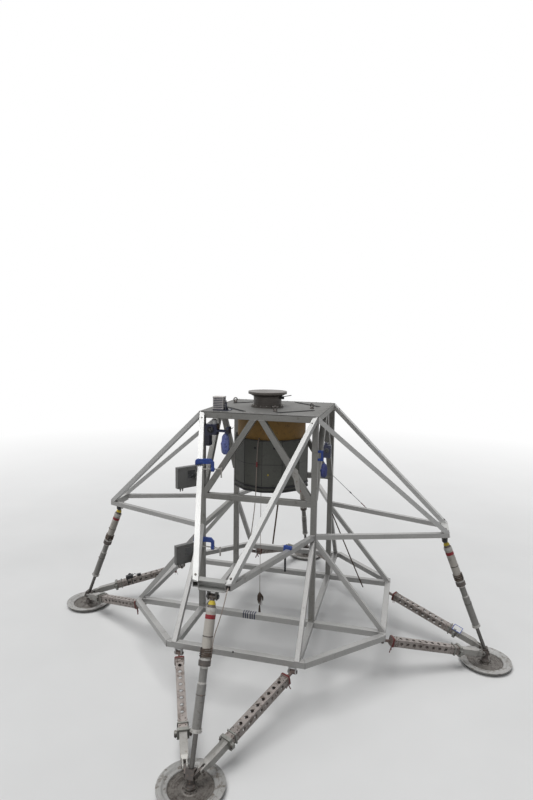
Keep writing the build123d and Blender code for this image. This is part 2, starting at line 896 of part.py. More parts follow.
# Screw clamps. The upper one straddles the left sloping tube of the front leg, the lower one
# the left diagonal in front of the post, and the third holds the right level tube.
clamp_thickness = 22
clamp_bar = 26
clamp_arm = 40
clamp_corner = 14
clamp_drop = 65
clamp_screw_radius = 5
clamp_screw_drop = 45
clamp_screw_out = 52
tommy_bar = 80
hanging_bar = 150
upper_clamp_along = 740
lower_clamp_out = 82
third_clamp_along = 790
plate_thickness = 5
tube_way = (sin(plan_angle), cos(plan_angle))
left_share = upper_clamp_along / outrigger_span
diagonal_slope = tan(diagonal_angle)
upper_clamp_plane = Plane(
    origin=(
        -bracket_half - left_share * plan_shift,
        left_share * plan_run - bracket_reach,
        level_top + sloping_lip + slope * (upper_clamp_along + clamp_thickness / 2),
    ),
    x_dir=(tube_way[1], tube_way[0], 0),
    z_dir=(tube_way[0], -tube_way[1], 0),
)
lower_clamp_plane = Plane(
    origin=(
        -frame_half,
        -post_face - lower_clamp_out,
        level_under - diagonal_slope * (lower_clamp_out - clamp_thickness / 2),
    ),
    x_dir=(1, 0, 0),
    z_dir=(0, -1, 0),
)
jaw_inside = half_outrigger + plate_thickness
jaw = jaw_inside + 13
upper_clamp_reach = 116
lower_clamp_reach = 150


def clamp_profile(reach):
    return (
        (-jaw, -clamp_arm + 4),
        (-jaw, clamp_arm - clamp_corner),
        (clamp_corner - jaw, clamp_arm),
        (reach - 2 * clamp_corner, clamp_arm),
        (reach, clamp_arm - 2 * clamp_corner),
        (reach, -clamp_drop),
        (reach - clamp_bar, -clamp_drop),
        (reach - clamp_bar, 0),
        (-jaw_inside, 0),
        (-jaw_inside, -clamp_arm + 4),
    )


third_share = third_clamp_along / outrigger_span
third_clamp_plane = Plane(
    origin=(
        bracket_half + third_share * plan_shift,
        third_share * plan_run - bracket_reach,
        level_z,
    ),
    x_dir=(tube_way[1], -tube_way[0], 0),
    z_dir=(-tube_way[0], -tube_way[1], 0),
)
third_profile = (
    (clamp_bar, half_outrigger),
    (clamp_bar, half_outrigger + clamp_bar),
    (-half_outrigger - clamp_bar, half_outrigger + clamp_bar),
    (-half_outrigger - clamp_bar, -half_outrigger),
    (-half_outrigger, -half_outrigger),
    (-half_outrigger, half_outrigger),
)
with BuildPart() as clamp_frames:
    for place, profile in (
        (upper_clamp_plane, clamp_profile(upper_clamp_reach)),
        (lower_clamp_plane, clamp_profile(lower_clamp_reach)),
        (third_clamp_plane, third_profile),
    ):
        with BuildSketch(place):
            with BuildLine():
                Polyline(*profile, close=True)
            make_face()
        extrude(amount=clamp_thickness / 2, both=True)

clamp_frames.part.label = "clamp_frames"
export_step(clamp_frames.part, "parts/clamp_frames.step")

# Their screws, on both sides of the arm that carries them, with a tommy bar at the outer end
screw_sides = 8
with BuildPart() as clamp_screws:
    for place, reach in (
        (upper_clamp_plane, upper_clamp_reach),
        (lower_clamp_plane, lower_clamp_reach),
    ):
        screw_end = reach + clamp_screw_out
        for first, last in ((half_outrigger, reach - clamp_bar), (reach, screw_end)):
            screw_plane = Plane(
                origin=place.from_local_coords(Vector(first, -clamp_screw_drop, 0)),
                x_dir=place.z_dir,
                z_dir=place.x_dir,
            )
            with BuildSketch(screw_plane):
                RegularPolygon(clamp_screw_radius, screw_sides)
            extrude(amount=last - first)
        with BuildSketch(place):
            with Locations((screw_end + clamp_screw_radius, 10 - clamp_screw_drop - tommy_bar / 2)):
                Rectangle(2 * clamp_screw_radius, tommy_bar)
        extrude(amount=clamp_screw_radius, both=True)
    with BuildSketch(third_clamp_plane):
        with Locations((-half_outrigger - clamp_bar / 2, -half_outrigger - hanging_bar / 2)):
            Rectangle(2 * clamp_screw_radius, hanging_bar)
    extrude(amount=clamp_screw_radius, both=True)

clamp_screws.part.label = "clamp_screws"
export_step(clamp_screws.part, "parts/clamp_screws.step")

# Flat boxes turned toward the front, each welded to a plate that the jaw of a clamp holds
box_width = 172
box_height = 168
box_depth = 40
box_turn = 52
box_drop = 3
plate_length = 100
plate_height = 64
plate_drop = 8
with BuildPart() as flat_boxes:
    for place, turn in ((upper_clamp_plane, degrees(plan_angle)), (lower_clamp_plane, 0)):
        corner = place.from_local_coords(Vector(-half_outrigger, 0, plate_length / 2 - 2))
        middle = place.from_local_coords(Vector(-half_outrigger, 0, 0))
        with BuildSketch(Plane.XY.offset(middle.Z - box_drop - box_height)):
            with Locations(Location((corner.X, corner.Y, 0), (0, 0, box_turn))):
                Rectangle(box_width, box_depth, align=(Align.MAX, Align.MIN))
        extrude(amount=box_height)
        with BuildSketch(Plane.XY.offset(middle.Z - plate_drop - plate_height)):
            with Locations(Location((middle.X, middle.Y, 0), (0, 0, turn))):
                Rectangle(plate_thickness, plate_length, align=(Align.MAX, Align.CENTER))
        extrude(amount=plate_height)

flat_boxes.part.label = "flat_boxes"
export_step(flat_boxes.part, "parts/flat_boxes.step")

# Camera unit at the top of the left post, with what hangs from it: left, width, underside, height
unit_front = -frame_half - 20
unit_depth = 75
with BuildPart() as post_unit:
    for left, width, under, height in (
        (-post_inside, 112, 2030, 94),
        (-post_inside, 46, 1930, 100),
        (112 - post_inside, 112, 2058, 14),
        (198 - post_inside, 26, 2044, 14),
        (198 - post_inside, 26, 2072, 32),
    ):
        with BuildSketch(Plane.XY.offset(under)):
            with Locations((left, unit_front)):
                Rectangle(width, unit_depth, align=(Align.MIN, Align.MIN))
        extrude(amount=height)

post_unit.part.label = "post_unit"
export_step(post_unit.part, "parts/post_unit.step")

# Loose cords: node, radius, route from the point where the cord leaves the object
cord_sides = 6
cords = (
    (
        "drum_cord",
        4,
        (
            (-32, -321, 1990),
            (-32, -350, 1987),
            (-33, -365, 1962),
            (-40, -366, 1860),
            (-44, -366, 1690),
            (-50, -366, 1428),
            (-80, -363, 1169),
            (-100, -361, 1025),
        ),
    ),
    ("tuft_cord", 2.5, ((-58, -150, 1496), (-57, -150, 330))),
    ("beam_strap", 7, ((190, -505, 1454.2), (150, -505, 1095))),
    ("post_rope", 6, ((535.6, 492, 1092), (826, 473, 452), (874, 473, 352))),
    ("thin_line", 2.5, ((531.8, 505, 1490), (888, 378, 1219))),
    (
        "strut_cable",
        3.5,
        (
            (118, -1625, 1196),
            (121, -1664, 1192),
            (120, -1692, 1160),
            (108, -1704, 1090),
            (78, -1716, 980),
            (50, -1726, 890),
            (39, -1734, 805.4),
            (39, -1761.7, 736),
        ),
    ),
)


# The largest arc that the two runs beside each corner of a route allow
def corner_radii(route):
    radii = []
    for before, corner, after in zip(route, route[1:], route[2:]):
        run_in = Vector(*corner) - Vector(*before)
        run_out = Vector(*after) - Vector(*corner)
        half_turn = radians(run_in.get_angle(run_out)) / 2
        radii.append(0.45 * min(run_in.length, run_out.length) / tan(half_turn))
    return radii


for name, radius, route in cords:
    with BuildPart() as cord:
        with BuildLine() as cord_line:
            if len(route) == 2:
                Polyline(*route)
            else:
                FilletPolyline(*route, radius=corner_radii(route))
        with BuildSketch(cord_line.wire() ^ 0):
            RegularPolygon(radius, cord_sides)
        sweep()
    cord.part.label = name
    export_step(cord.part, "parts/" + name + ".step")
    run = cord_line.wire().length
    filled = cord.part.volume / (1.5 * sqrt(3) * radius**2 * run)
    print(name, "length", round(run), "filled", round(filled, 3), "radii", [round(r) for r in corner_radii(route)])

# Tuft at the lower end of the cord that hangs from the drum
tuft_radius = 14
tuft_length = 100
with BuildPart() as cord_tuft:
    with BuildSketch(Plane.XY.offset(330)):
        with Locations((-57, -150)):
            RegularPolygon(tuft_radius / 2, cord_sides)
    extrude(amount=-tuft_length, taper=-4)

cord_tuft.part.label = "cord_tuft"
export_step(cord_tuft.part, "parts/cord_tuft.step")
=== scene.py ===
import math

import bmesh
import bpy
from mathutils import Matrix, Vector


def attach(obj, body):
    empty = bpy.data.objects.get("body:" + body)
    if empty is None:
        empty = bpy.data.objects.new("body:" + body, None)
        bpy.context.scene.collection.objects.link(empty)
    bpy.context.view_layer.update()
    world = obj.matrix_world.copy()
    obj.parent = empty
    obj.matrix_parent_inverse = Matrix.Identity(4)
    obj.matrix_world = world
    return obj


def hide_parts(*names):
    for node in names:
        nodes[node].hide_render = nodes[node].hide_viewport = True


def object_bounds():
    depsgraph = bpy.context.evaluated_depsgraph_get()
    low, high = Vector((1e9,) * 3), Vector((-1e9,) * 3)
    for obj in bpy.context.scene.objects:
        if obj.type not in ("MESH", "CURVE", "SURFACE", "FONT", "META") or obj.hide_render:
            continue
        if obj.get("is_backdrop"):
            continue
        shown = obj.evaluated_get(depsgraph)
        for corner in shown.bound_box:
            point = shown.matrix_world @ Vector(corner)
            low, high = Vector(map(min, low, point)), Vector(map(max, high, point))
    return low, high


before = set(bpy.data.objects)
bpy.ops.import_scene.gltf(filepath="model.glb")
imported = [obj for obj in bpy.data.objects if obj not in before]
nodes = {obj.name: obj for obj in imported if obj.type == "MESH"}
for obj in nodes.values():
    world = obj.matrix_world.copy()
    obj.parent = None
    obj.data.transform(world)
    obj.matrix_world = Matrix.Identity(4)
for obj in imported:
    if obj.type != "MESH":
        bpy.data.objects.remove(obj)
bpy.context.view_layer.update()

scene = bpy.context.scene

# Sizes repeated from the CAD, in metres
frame_half = 0.505
half_tube = 0.025
half_outrigger = 0.020
deck_z = 2.230
deck_top = 2.238
mid_low, mid_high = 1.455, 1.505
level_z = 1.196
base_z = 0.412
bracket_reach = 1.640
bracket_half = 0.118
strut_top = Vector((0, -1.612, 1.112))
strut_foot = Vector((0, -2.010, 0.112))
foot_reach = 2.010
brace_top = Vector((0.470, -1.117, 0.338))
brace_foot = Vector((0.056, -1.975, 0.122))
post_face = frame_half + half_tube
post_inside = frame_half - half_tube
base_top = base_z + half_tube
beam_under = deck_z - 2 * half_tube
octagon_half = 1.117
octagon_face = octagon_half + half_tube
octagon_corner = frame_half + 0.055
# The outriggers: where they meet the posts, where the sloping ones start, and how they lie
outrigger_x = frame_half - 0.003
slope_start = level_z + half_outrigger + 0.008
plan_angle = math.atan2(outrigger_x - bracket_half, bracket_reach - post_face)
outrigger_span = (bracket_reach - post_face) / math.cos(plan_angle)
slope_angle = math.atan2(deck_z - slope_start, outrigger_span)
diagonal_angle = math.atan2(level_z - half_outrigger - base_top, octagon_face - post_face)


# Materials

def new_tree(name):
    mat = bpy.data.materials.new(name)
    mat.use_nodes = True
    return mat, mat.node_tree, mat.node_tree.nodes["Principled BSDF"]


def feed(tree, node, inputs):
    """Sets the inputs of a node, or links them where a socket is given"""
    for name, value in inputs.items():
        if isinstance(value, bpy.types.NodeSocket):
            tree.links.new(value, node.inputs[name])
        else:
            node.inputs[name].default_value = value
    return node


def add(tree, kind, inputs, operation=None):
    node = tree.nodes.new("ShaderNode" + kind)
    if operation:
        node.operation = operation
    return feed(tree, node, inputs)


def ramp(tree, source, stops):
    node = add(tree, "ValToRGB", {"Fac": source})
    elements = node.color_ramp.elements
    while len(elements) < len(stops):
        elements.new(0.5)
    for element, (place, colour) in zip(elements, stops):
        element.position = place
        element.color = (*colour, 1)
    return node.outputs["Color"]


def noise(tree, coordinates, scale, detail=4, rough=0.55):
    inputs = {"Vector": coordinates, "Scale": scale, "Detail": detail, "Roughness": rough}
    return add(tree, "TexNoise", inputs).outputs["Fac"]


def spread(tree, source, low, high, start=0.3, end=0.7):
    """Maps start to end of the source onto low to high"""
    inputs = {"Value": source, "From Min": start, "From Max": end, "To Min": low, "To Max": high}
    return add(tree, "MapRange", inputs).outputs["Result"]


def mix_colour(tree, factor, first, second):
    node = tree.nodes.new("ShaderNodeMix")
    node.data_type = "RGBA"
    first, second = ((*c, 1) if isinstance(c, tuple) else c for c in (first, second))
    return feed(tree, node, {"Factor": factor, "A": first, "B": second}).outputs["Result"]


def shade(colour, factor):
    return tuple(min(1, c * factor) for c in colour)


def surface(name, colour, metallic, rough, patch, fine, vary, spots=None, spot_start=0.62,
            bumpiness=0.15, relief=0.0006, coat=0.0):
    """A finish with broad patches, fine mottling and, where given, spots of another colour.

    patch and fine are the scales of the two noises, vary is how far the colour goes up and down, spot_start is
    the noise value at which spots begin, and relief is the depth of the bumps in metres."""
    mat, tree, shader = new_tree(name)
    coordinates = tree.nodes.new("ShaderNodeTexCoord").outputs["Object"]
    broad = noise(tree, coordinates, patch)
    small = noise(tree, coordinates, fine, 6, 0.65)
    base = ramp(tree, broad, [(0.3, shade(colour, 1 - vary)), (0.5, colour), (0.72, shade(colour, 1 + vary))])
    grit = ramp(tree, small, [(0.32, shade(colour, 1 - 1.4 * vary)), (0.6, shade(colour, 1 + 0.5 * vary))])
    result = mix_colour(tree, 0.4, base, grit)
    if spots:
        dirt = noise(tree, coordinates, patch * 4.3, 8, 0.7)
        result = mix_colour(tree, spread(tree, dirt, 0, 1, spot_start - 0.05, spot_start + 0.08), result, spots)
    bump = add(tree, "Bump", {"Strength": bumpiness, "Distance": relief, "Height": small})
    feed(tree, shader, {"Base Color": result, "Roughness": spread(tree, broad, rough - 0.1, rough + 0.1),
                        "Normal": bump.outputs["Normal"], "Metallic": metallic, "Coat Weight": coat})
    return mat


# Name, colour, metallic, roughness, patch, fine, vary, colour of the spots and where they start
aluminium = surface(
    "aluminium_tube", (0.41, 0.405, 0.395), 0.36, 0.4, 2.2, 90, 0.15, (0.24, 0.225, 0.21), 0.64)
# Aluminium darkened as painted shade for the posts, beams and V braces
painted_shade_tube = surface("painted_shade_tube", (0.265, 0.26, 0.245), 0.22, 0.42, 2.2, 90, 0.16, (0.15, 0.14, 0.12), 0.6)
# Aluminium lightened as a painted highlight for the sloping outriggers
painted_highlight_tube = surface("painted_highlight_tube", (0.52, 0.52, 0.51), 0.3, 0.45, 2.2, 90, 0.12, (0.32, 0.31, 0.29), 0.66)
bracket_metal = surface(
    "milled_aluminium", (0.47, 0.47, 0.455), 0.3, 0.46, 6, 120, 0.14, (0.24, 0.23, 0.21), 0.64)
sheet_metal = surface(
    "deck_sheet", (0.125, 0.123, 0.117), 0.12, 0.58, 2.6, 70, 0.22, (0.07, 0.066, 0.06), 0.58)
# Strut boxes: their own pinkish grey, darkened as painted shade for the shaded side faces
brace_metal_and_painted_shade = surface(
    "blasted_strut_and_painted_shade", (0.33, 0.295, 0.275), 0.25, 0.5, 7, 110, 0.26, (0.12, 0.09, 0.075), 0.56)
strut_white = surface("white_paint", (0.50, 0.47, 0.425), 0.0, 0.42, 5, 80, 0.1, (0.24, 0.20, 0.16), 0.64)
strut_red = surface("red_paint", (0.25, 0.013, 0.02), 0.0, 0.45, 9, 90, 0.16, (0.28, 0.05, 0.04), 0.66)
yellow_paint = surface("yellow_paint", (0.72, 0.55, 0.06), 0.0, 0.45, 9, 90, 0.14, (0.4, 0.28, 0.06), 0.66)
sleeve_grey = surface(
    "grey_sleeve", (0.235, 0.228, 0.215), 0.0, 0.35, 9, 50, 0.16, (0.13, 0.115, 0.10), 0.62, coat=0.2)
rod_steel = surface("dark_rod", (0.12, 0.115, 0.11), 0.8, 0.3, 12, 140, 0.2, (0.25, 0.2, 0.16), 0.66)
dark_steel = surface("dark_steel", (0.10, 0.09, 0.085), 0.7, 0.45, 14, 130, 0.25, (0.24, 0.17, 0.13), 0.6)
black_steel = surface("black_steel", (0.03, 0.03, 0.033), 0.5, 0.4, 14, 130, 0.25)
brace_cap = surface("brace_cap", (0.17, 0.125, 0.11), 0.2, 0.5, 9, 110, 0.24, (0.3, 0.26, 0.23), 0.6)
collar_metal = surface("collar_metal", (0.26, 0.26, 0.24), 0.4, 0.48, 8, 110, 0.2, (0.14, 0.11, 0.09), 0.6)
# Slides: their own grey, darkened as painted shade for the shaded sides
slide_metal_and_painted_shade = surface("slide_metal_and_painted_shade", (0.36, 0.35, 0.33), 0.3, 0.4, 7, 110, 0.18, (0.2, 0.17, 0.14), 0.6)
weld_metal = surface("weld_metal", (0.27, 0.265, 0.26), 0.6, 0.42, 14, 160, 0.25, (0.14, 0.13, 0.12), 0.6)
ring_metal = surface("ring_metal", (0.47, 0.46, 0.44), 0.4, 0.4, 10, 110, 0.14, (0.24, 0.21, 0.18), 0.62)
yoke_metal = surface("yoke_metal", (0.10, 0.097, 0.09), 0.3, 0.5, 10, 110, 0.2, (0.2, 0.18, 0.16), 0.66)
dish_metal = surface("dish_metal", (0.145, 0.133, 0.12), 0.25, 0.5, 7, 70, 0.26, (0.05, 0.04, 0.034), 0.54)
rubber_black = surface("rubber_black", (0.018, 0.018, 0.018), 0.0, 0.6, 9, 120, 0.3)
# White paint of the unit cap and the card; on the brace hangers it is painted light
cap_white_and_painted_light = surface("cap_white_and_painted_light", (0.66, 0.66, 0.65), 0.0, 0.4, 9, 90, 0.08, (0.4, 0.38, 0.36), 0.66)
pouch_blue = surface(
    "pouch_blue", (0.15, 0.19, 0.50), 0.0, 0.3, 16, 40, 0.3, (0.05, 0.06, 0.2), 0.56, 0.5, 0.003, coat=0.3)
tie_red = surface("tie_red", (0.12, 0.014, 0.014), 0.0, 0.75, 14, 160, 0.25, (0.05, 0.01, 0.01), 0.58)
pouch_dark = surface(
    "pouch_dark", (0.045, 0.06, 0.24), 0.0, 0.35, 16, 40, 0.3, (0.02, 0.022, 0.06), 0.56, 0.5, 0.003)
glass_dark = surface("glass_dark", (0.02, 0.022, 0.025), 0.0, 0.12, 10, 90, 0.2, bumpiness=0.02, coat=0.6)
pad_paint = surface("pad_paint", (0.36, 0.356, 0.345), 0.25, 0.5, 5, 60, 0.18, (0.16, 0.14, 0.12), 0.56)
adapter_paint = surface(
    "adapter_bronze", (0.105, 0.092, 0.083), 0.3, 0.42, 6, 80, 0.2, (0.13, 0.105, 0.09), 0.64)
eye_steel = surface("zinc_steel", (0.30, 0.29, 0.27), 0.85, 0.38, 16, 140, 0.2, (0.16, 0.12, 0.09), 0.62)
ochre = surface("ochre_ring", (0.40, 0.225, 0.06), 0.0, 0.6, 6, 70, 0.2, (0.2, 0.11, 0.035), 0.6)
drum_grey = surface(
    "drum_grey_green", (0.125, 0.127, 0.112), 0.05, 0.6, 4, 60, 0.16, (0.08, 0.08, 0.07), 0.62)
clamp_blue = surface(
    "blue_paint", (0.015, 0.06, 0.32), 0.0, 0.38, 12, 90, 0.2, (0.08, 0.09, 0.14), 0.66, coat=0.15)
box_grey = surface("box_grey", (0.145, 0.145, 0.14), 0.1, 0.5, 7, 80, 0.12, (0.08, 0.08, 0.08), 0.64)
unit_dark = surface("unit_dark", (0.022, 0.026, 0.06), 0.0, 0.35, 10, 90, 0.2, coat=0.1)
cord_pale = surface("pale_jacket", (0.40, 0.33, 0.29), 0.0, 0.55, 9, 160, 0.18, (0.22, 0.17, 0.14), 0.62)
cord_dark = surface("dark_jacket", (0.045, 0.042, 0.045), 0.0, 0.5, 9, 160, 0.25, (0.12, 0.10, 0.09), 0.64)
strap_brown = surface(
    "strap_webbing", (0.085, 0.06, 0.045), 0.0, 0.75, 9, 220, 0.25, (0.16, 0.12, 0.09), 0.62)
plug_red = surface("red_plug", (0.28, 0.03, 0.03), 0.0, 0.4, 12, 90, 0.16)
device_pale = surface("device_pale", (0.60, 0.57, 0.55), 0.0, 0.5, 8, 80, 0.08, (0.4, 0.36, 0.34), 0.66)

# Finishes of the carried-over solids, by node. All other nodes are aluminium.
finishes = (
    # Posts, beams and V braces: darkened aluminium as painted shade
    (painted_shade_tube, "corner_posts top_beams_long top_beams_short mid_beams side_beam vee_braces"),
    # Sloping outriggers: lightened aluminium as a painted highlight
    (painted_highlight_tube, "sloping_outriggers"),
    (bracket_metal, "leg_brackets"),
    (yoke_metal, "strut_yokes"),
    (black_steel, "strut_bolts drum_bands"),
    (dark_steel, "strut_heads strut_collars foot_joints brace_bolts"),
    (strut_white, "strut_cylinders"),
    (sleeve_grey, "strut_tubes strut_sleeves"),
    (ring_metal, "strut_rings"),
    (rod_steel, "strut_rods"),
    (pad_paint, "footpads"),
    # Brace hangers: white paint as painted light, for light that does not reach under the bar
    (cap_white_and_painted_light, "brace_hangers"),
    (brace_cap, "brace_heads"),
    # Strut boxes: own colour darkened as painted shade
    (brace_metal_and_painted_shade, "brace_boxes"),
    (collar_metal, "brace_collars"),
    # Slides: own colour darkened as painted shade
    (slide_metal_and_painted_shade, "brace_slides"),
    (sheet_metal, "deck"),
    (adapter_paint, "adapter_body adapter_cap"),
    (eye_steel, "lifting_eyes clamp_screws"),
    (ochre, "deck_ring"),
    (drum_grey, "drum"),
    (clamp_blue, "clamp_frames"),
    (box_grey, "flat_boxes"),
    (unit_dark, "post_unit device_base device_mast"),
    (device_pale, "deck_device"),
    (strap_brown, "cord_tuft beam_strap post_rope"),
    (cord_pale, "drum_cord tuft_cord strut_cable"),
    (cord_dark, "thin_line"),
)
finish_of = {name: mat for mat, names in finishes for name in names.split()}

# Small rounded edges on the carried-over solids, in metres
edges = (
    (0.006, "deck_device"),
    (0.004, "post_unit"),
    (0.003, "corner_posts top_beams_long top_beams_short mid_beams side_beam vee_braces octagon_leg_bars "
            "octagon_corner_bars cross_bars_whole cross_bars_cut diagonals foot_joints adapter_cap "
            "clamp_frames flat_boxes"),
    (0.002, "brace_slides brace_collars"),
    (0.0015, "leg_brackets strut_yokes brace_hangers device_base"),
    (0.001, "deck"),
)
edge_of = {name: width for width, names in edges for name in names.split()}


def round_edges(obj, width):
    edge = obj.modifiers.new("edge", "BEVEL")
    edge.width = width
    edge.segments = 2
    edge.limit_method = "ANGLE"
    edge.angle_limit = math.radians(35)


for name, node in nodes.items():
    node.data.materials.clear()
    node.data.materials.append(finish_of.get(name, aluminium))
    if name in edge_of:
        node.modifiers.new("weld", "WELD").merge_threshold = 0.00002
        round_edges(node, edge_of[name])


# Mesh tools. They add to one working mesh, in the row frame, and piece() makes an object of it and empties it.

bm = bmesh.new()
quarter = math.pi / 2
up = Vector((0, 0, 1))
mirror = Matrix.Diagonal((-1, 1, 1, 1))


def moved(x, y, z):
    return Matrix.Translation((x, y, z))


def turned(angle, axis="Z"):
    return Matrix.Rotation(angle, 4, axis)


quarter_turns = [turned(quarter * k) for k in (1, 2, 3)]


def frame_at(origin, x, y, z):
    m = Matrix((x, y, z)).transposed().to_4x4()
    m.translation = origin
    return m


def frame_along(origin, z):
    z = Vector(z).normalized()
    x = up.cross(z)
    x = x.normalized() if x.length > 0.01 else Vector((1, 0, 0))
    return frame_at(origin, x, z.cross(x), z)


def upright(origin, angle):
    """Frame with x level and turned by the angle, y up, and z out to the front"""
    c, s = math.cos(angle), math.sin(angle)
    return frame_at(origin, (c, s, 0), up, (s, -c, 0))


def circle(count, radius=1.0):
    angles = (2 * math.pi * k / count for k in range(count))
    return [(radius * math.cos(a), radius * math.sin(a)) for a in angles]


def bridge(rings, closed=False):
    """Faces between rings of vertices. A ring of one vertex is a tip; closed joins the last to the first."""
    for low, high in zip(rings, rings[1:] + rings[:1] if closed else rings[1:]):
        count = max(len(low), len(high))
        for k in range(count):
            n = (k + 1) % count
            if len(low) == 1:
                bm.faces.new((low[0], high[n], high[k]))
            elif len(high) == 1:
                bm.faces.new((low[k], low[n], high[0]))
            else:
                bm.faces.new((low[k], low[n], high[n], high[k]))


def lathe(profile, place, segments=32, closed=False):
    """Turned form of (radius, height) points, with a tip where the radius is 0"""
    rings = []
    for radius, height in profile:
        ring = circle(segments, radius) if radius else [(0, 0)]
        rings.append([bm.verts.new(place @ Vector((x, y, height))) for x, y in ring])
    bridge(rings, closed)


def hexagon(radius, height, place):
    """Bolt head or nut with a chamfered top"""
    c = min(0.15 * radius, 0.3 * height)
    lathe([(0, 0), (radius, 0), (radius, height - c), (radius - c, height), (0, height)], place, 6)


def screw_head(radius, height, place):
    """Socket-head screw: a low drum with a recess in it"""
    lathe([(0, 0), (radius, 0), (radius, 0.85 * height), (0.88 * radius, height), (0.5 * radius, height),
           (0.45 * radius, 0.45 * height), (0, 0.45 * height)], place, 12)


def slab(low, high, place=Matrix.Identity(4)):
    corners = [bm.verts.new(place @ Vector((x, y, z))) for z in (low[2], high[2])
               for y in (low[1], high[1]) for x in (low[0], high[0])]
    for face in ((0, 2, 3, 1), (4, 5, 7, 6), (0, 1, 5, 4), (1, 3, 7, 5), (3, 2, 6, 7), (2, 0, 4, 6)):
        bm.faces.new([corners[i] for i in face])


def pipe(points, radius, sides=8, closed=False, place=Matrix.Identity(4)):
    """Tube through the points, turned as little as it can be. radius may be a function of the ring's number."""
    points = [place @ Vector(p) for p in points]
    count = len(points)
    rings, side = [], None
    for k, p in enumerate(points):
        before = points[k - 1] if closed or k else p
        after = points[(k + 1) % count] if closed or k + 1 < count else p
        way = (after - before).normalized()
        if side is None:
            side = way.orthogonal().normalized()
        side = (side - way * side.dot(way)).normalized()
        across = way.cross(side)
        r = radius(k) if callable(radius) else radius
        rings.append([bm.verts.new(p + (side * x + across * y) * r) for x, y in circle(sides)])
    bridge(rings, closed)
    if not closed:
        bm.faces.new(rings[0][::-1])
        bm.faces.new(rings[-1])


def copies(matrices, flip=False):
    """Adds copies of all that is in the mesh so far, one for each matrix"""
    source = bm.verts[:] + bm.edges[:] + bm.faces[:]
    for m in matrices:
        made = bmesh.ops.duplicate(bm, geom=source)["geom"]
        bmesh.ops.transform(bm, matrix=m, verts=[g for g in made if isinstance(g, bmesh.types.BMVert)])
        if flip:
            bmesh.ops.reverse_faces(bm, faces=[g for g in made if isinstance(g, bmesh.types.BMFace)])


def four_legs(mirrored=False):
    """Copies what is on the front leg to the other three. mirrored copies its right half to the left first."""
    if mirrored:
        copies([mirror], flip=True)
    copies(quarter_turns)


def weld(start, end, radius=0.0026):
    """Weld bead with ripples"""
    start, end = Vector(start), Vector(end)
    count = max(4, 2 * round((end - start).length / 0.008))
    pipe([start.lerp(end, k / count) for k in range(count + 1)], lambda k: radius * (1 if k % 2 else 0.75), 6)


def weld_round(corners):
    """Weld beads along a closed outline"""
    for start, end in zip(corners, corners[1:] + corners[:1]):
        weld(start, end)


def knot(place, radius):
    """Small ball"""
    steps = 6
    angles = [math.pi * k / steps for k in range(steps)]
    lathe([(radius * math.sin(a), -radius * math.cos(a)) for a in angles] + [(0, radius)], place, 12)


def placed(name, data):
    """Object that rides on the one body"""
    obj = bpy.data.objects.new(name, data)
    scene.collection.objects.link(obj)
    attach(obj, "root")
    return obj


def piece(name, mat, bevel=0, angle=35, replaced=()):
    """Makes an object of the working mesh, shades it and rounds its edges"""
    mesh = bpy.data.meshes.new(name)
    bmesh.ops.recalc_face_normals(bm, faces=bm.faces)
    bm.to_mesh(mesh)
    bm.clear()
    mesh.shade_smooth()
    mesh.set_sharp_from_angle(angle=math.radians(angle))
    mesh.materials.append(mat)
    obj = placed(name, mesh)
    if bevel:
        round_edges(obj, bevel)
    if replaced:
        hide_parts(*replaced)
    return obj


# Frames of the front leg's shock strut and of its right side strut: x across, z along
strut_way = (strut_foot - strut_top).normalized()
level = Vector((1, 0, 0))
strut = frame_at(strut_top, level, strut_way.cross(level), strut_way)
brace_way = (brace_foot - brace_top).normalized()
level = Vector((-brace_way.y, brace_way.x, 0)).normalized()
brace = frame_at(brace_top, level, brace_way.cross(level), brace_way)


# Loose cords, on the routes of the CAD

def cord(name, node, radius, route, mat):
    """Curve of one smooth spline, with the route's points as its control points"""
    data = bpy.data.curves.new(name, "CURVE")
    data.dimensions = "3D"
    data.bevel_depth = radius
    data.bevel_resolution = 3
    data.resolution_u = 14
    data.use_fill_caps = True
    spline = data.splines.new("NURBS")
    spline.points.add(len(route) - 1)
    for point, place in zip(spline.points, route):
        point.co = (*place, 1)
    spline.order_u = 3
    spline.use_endpoint_u = True
    data.materials.append(mat)
    obj = placed(name, data)
    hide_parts(node)


# Drum cord, with its red plug
plug = frame_along((-0.0420, -0.3660, 1.780), (-0.002, 0, -0.17))
lathe([(0, 0), (0.005, 0), (0.0075, 0.003), (0.0075, 0.012), (0.006, 0.0135), (0.006, 0.018), (0.0075, 0.0195),
       (0.0075, 0.040), (0.0055, 0.046), (0, 0.046)], plug, 16)
red_plug = piece("red_plug", plug_red)
cord("drum_lead", "drum_cord", 0.004,
     ((-0.032, -0.321, 1.990), (-0.032, -0.350, 1.987), (-0.033, -0.365, 1.962), (-0.040, -0.366, 1.860),
      (-0.044, -0.366, 1.690), (-0.050, -0.366, 1.428), (-0.080, -0.363, 1.169), (-0.100, -0.361, 1.025)),
     cord_pale)

# Strands of the tuft: shares of their spread and of their drop along the way, and their radii there
strand_count, strand_turn = 40, 2.4
strand_path = ((0.15, 0), (0.7, 0.14), (1, 0.4), (1.04, 0.75), (1.1, 1))
strand_radii = (0.0016, 0.0022, 0.0024, 0.002, 0.0008)
for k in range(strand_count):
    seat = moved(-0.057, -0.150, 0) @ turned(strand_turn * k)
    wide = 0.008 + 0.026 * (0.37 * k % 1)
    top, tip = 0.466 - 0.03 * (0.61 * k % 1), 0.334 + 0.05 * (0.23 * k % 1)
    pipe([(wide * out, 0, top + (tip - top) * down) for out, down in strand_path], lambda j: strand_radii[j], 6,
         place=seat)
tuft_strands = piece("tuft_strands", strap_brown, angle=60)
cord("tuft_line", "tuft_cord", 0.0025,
     ((-0.058, -0.150, 1.496), (-0.058, -0.150, 1.466), (-0.057, -0.150, 0.330)),
     cord_pale)

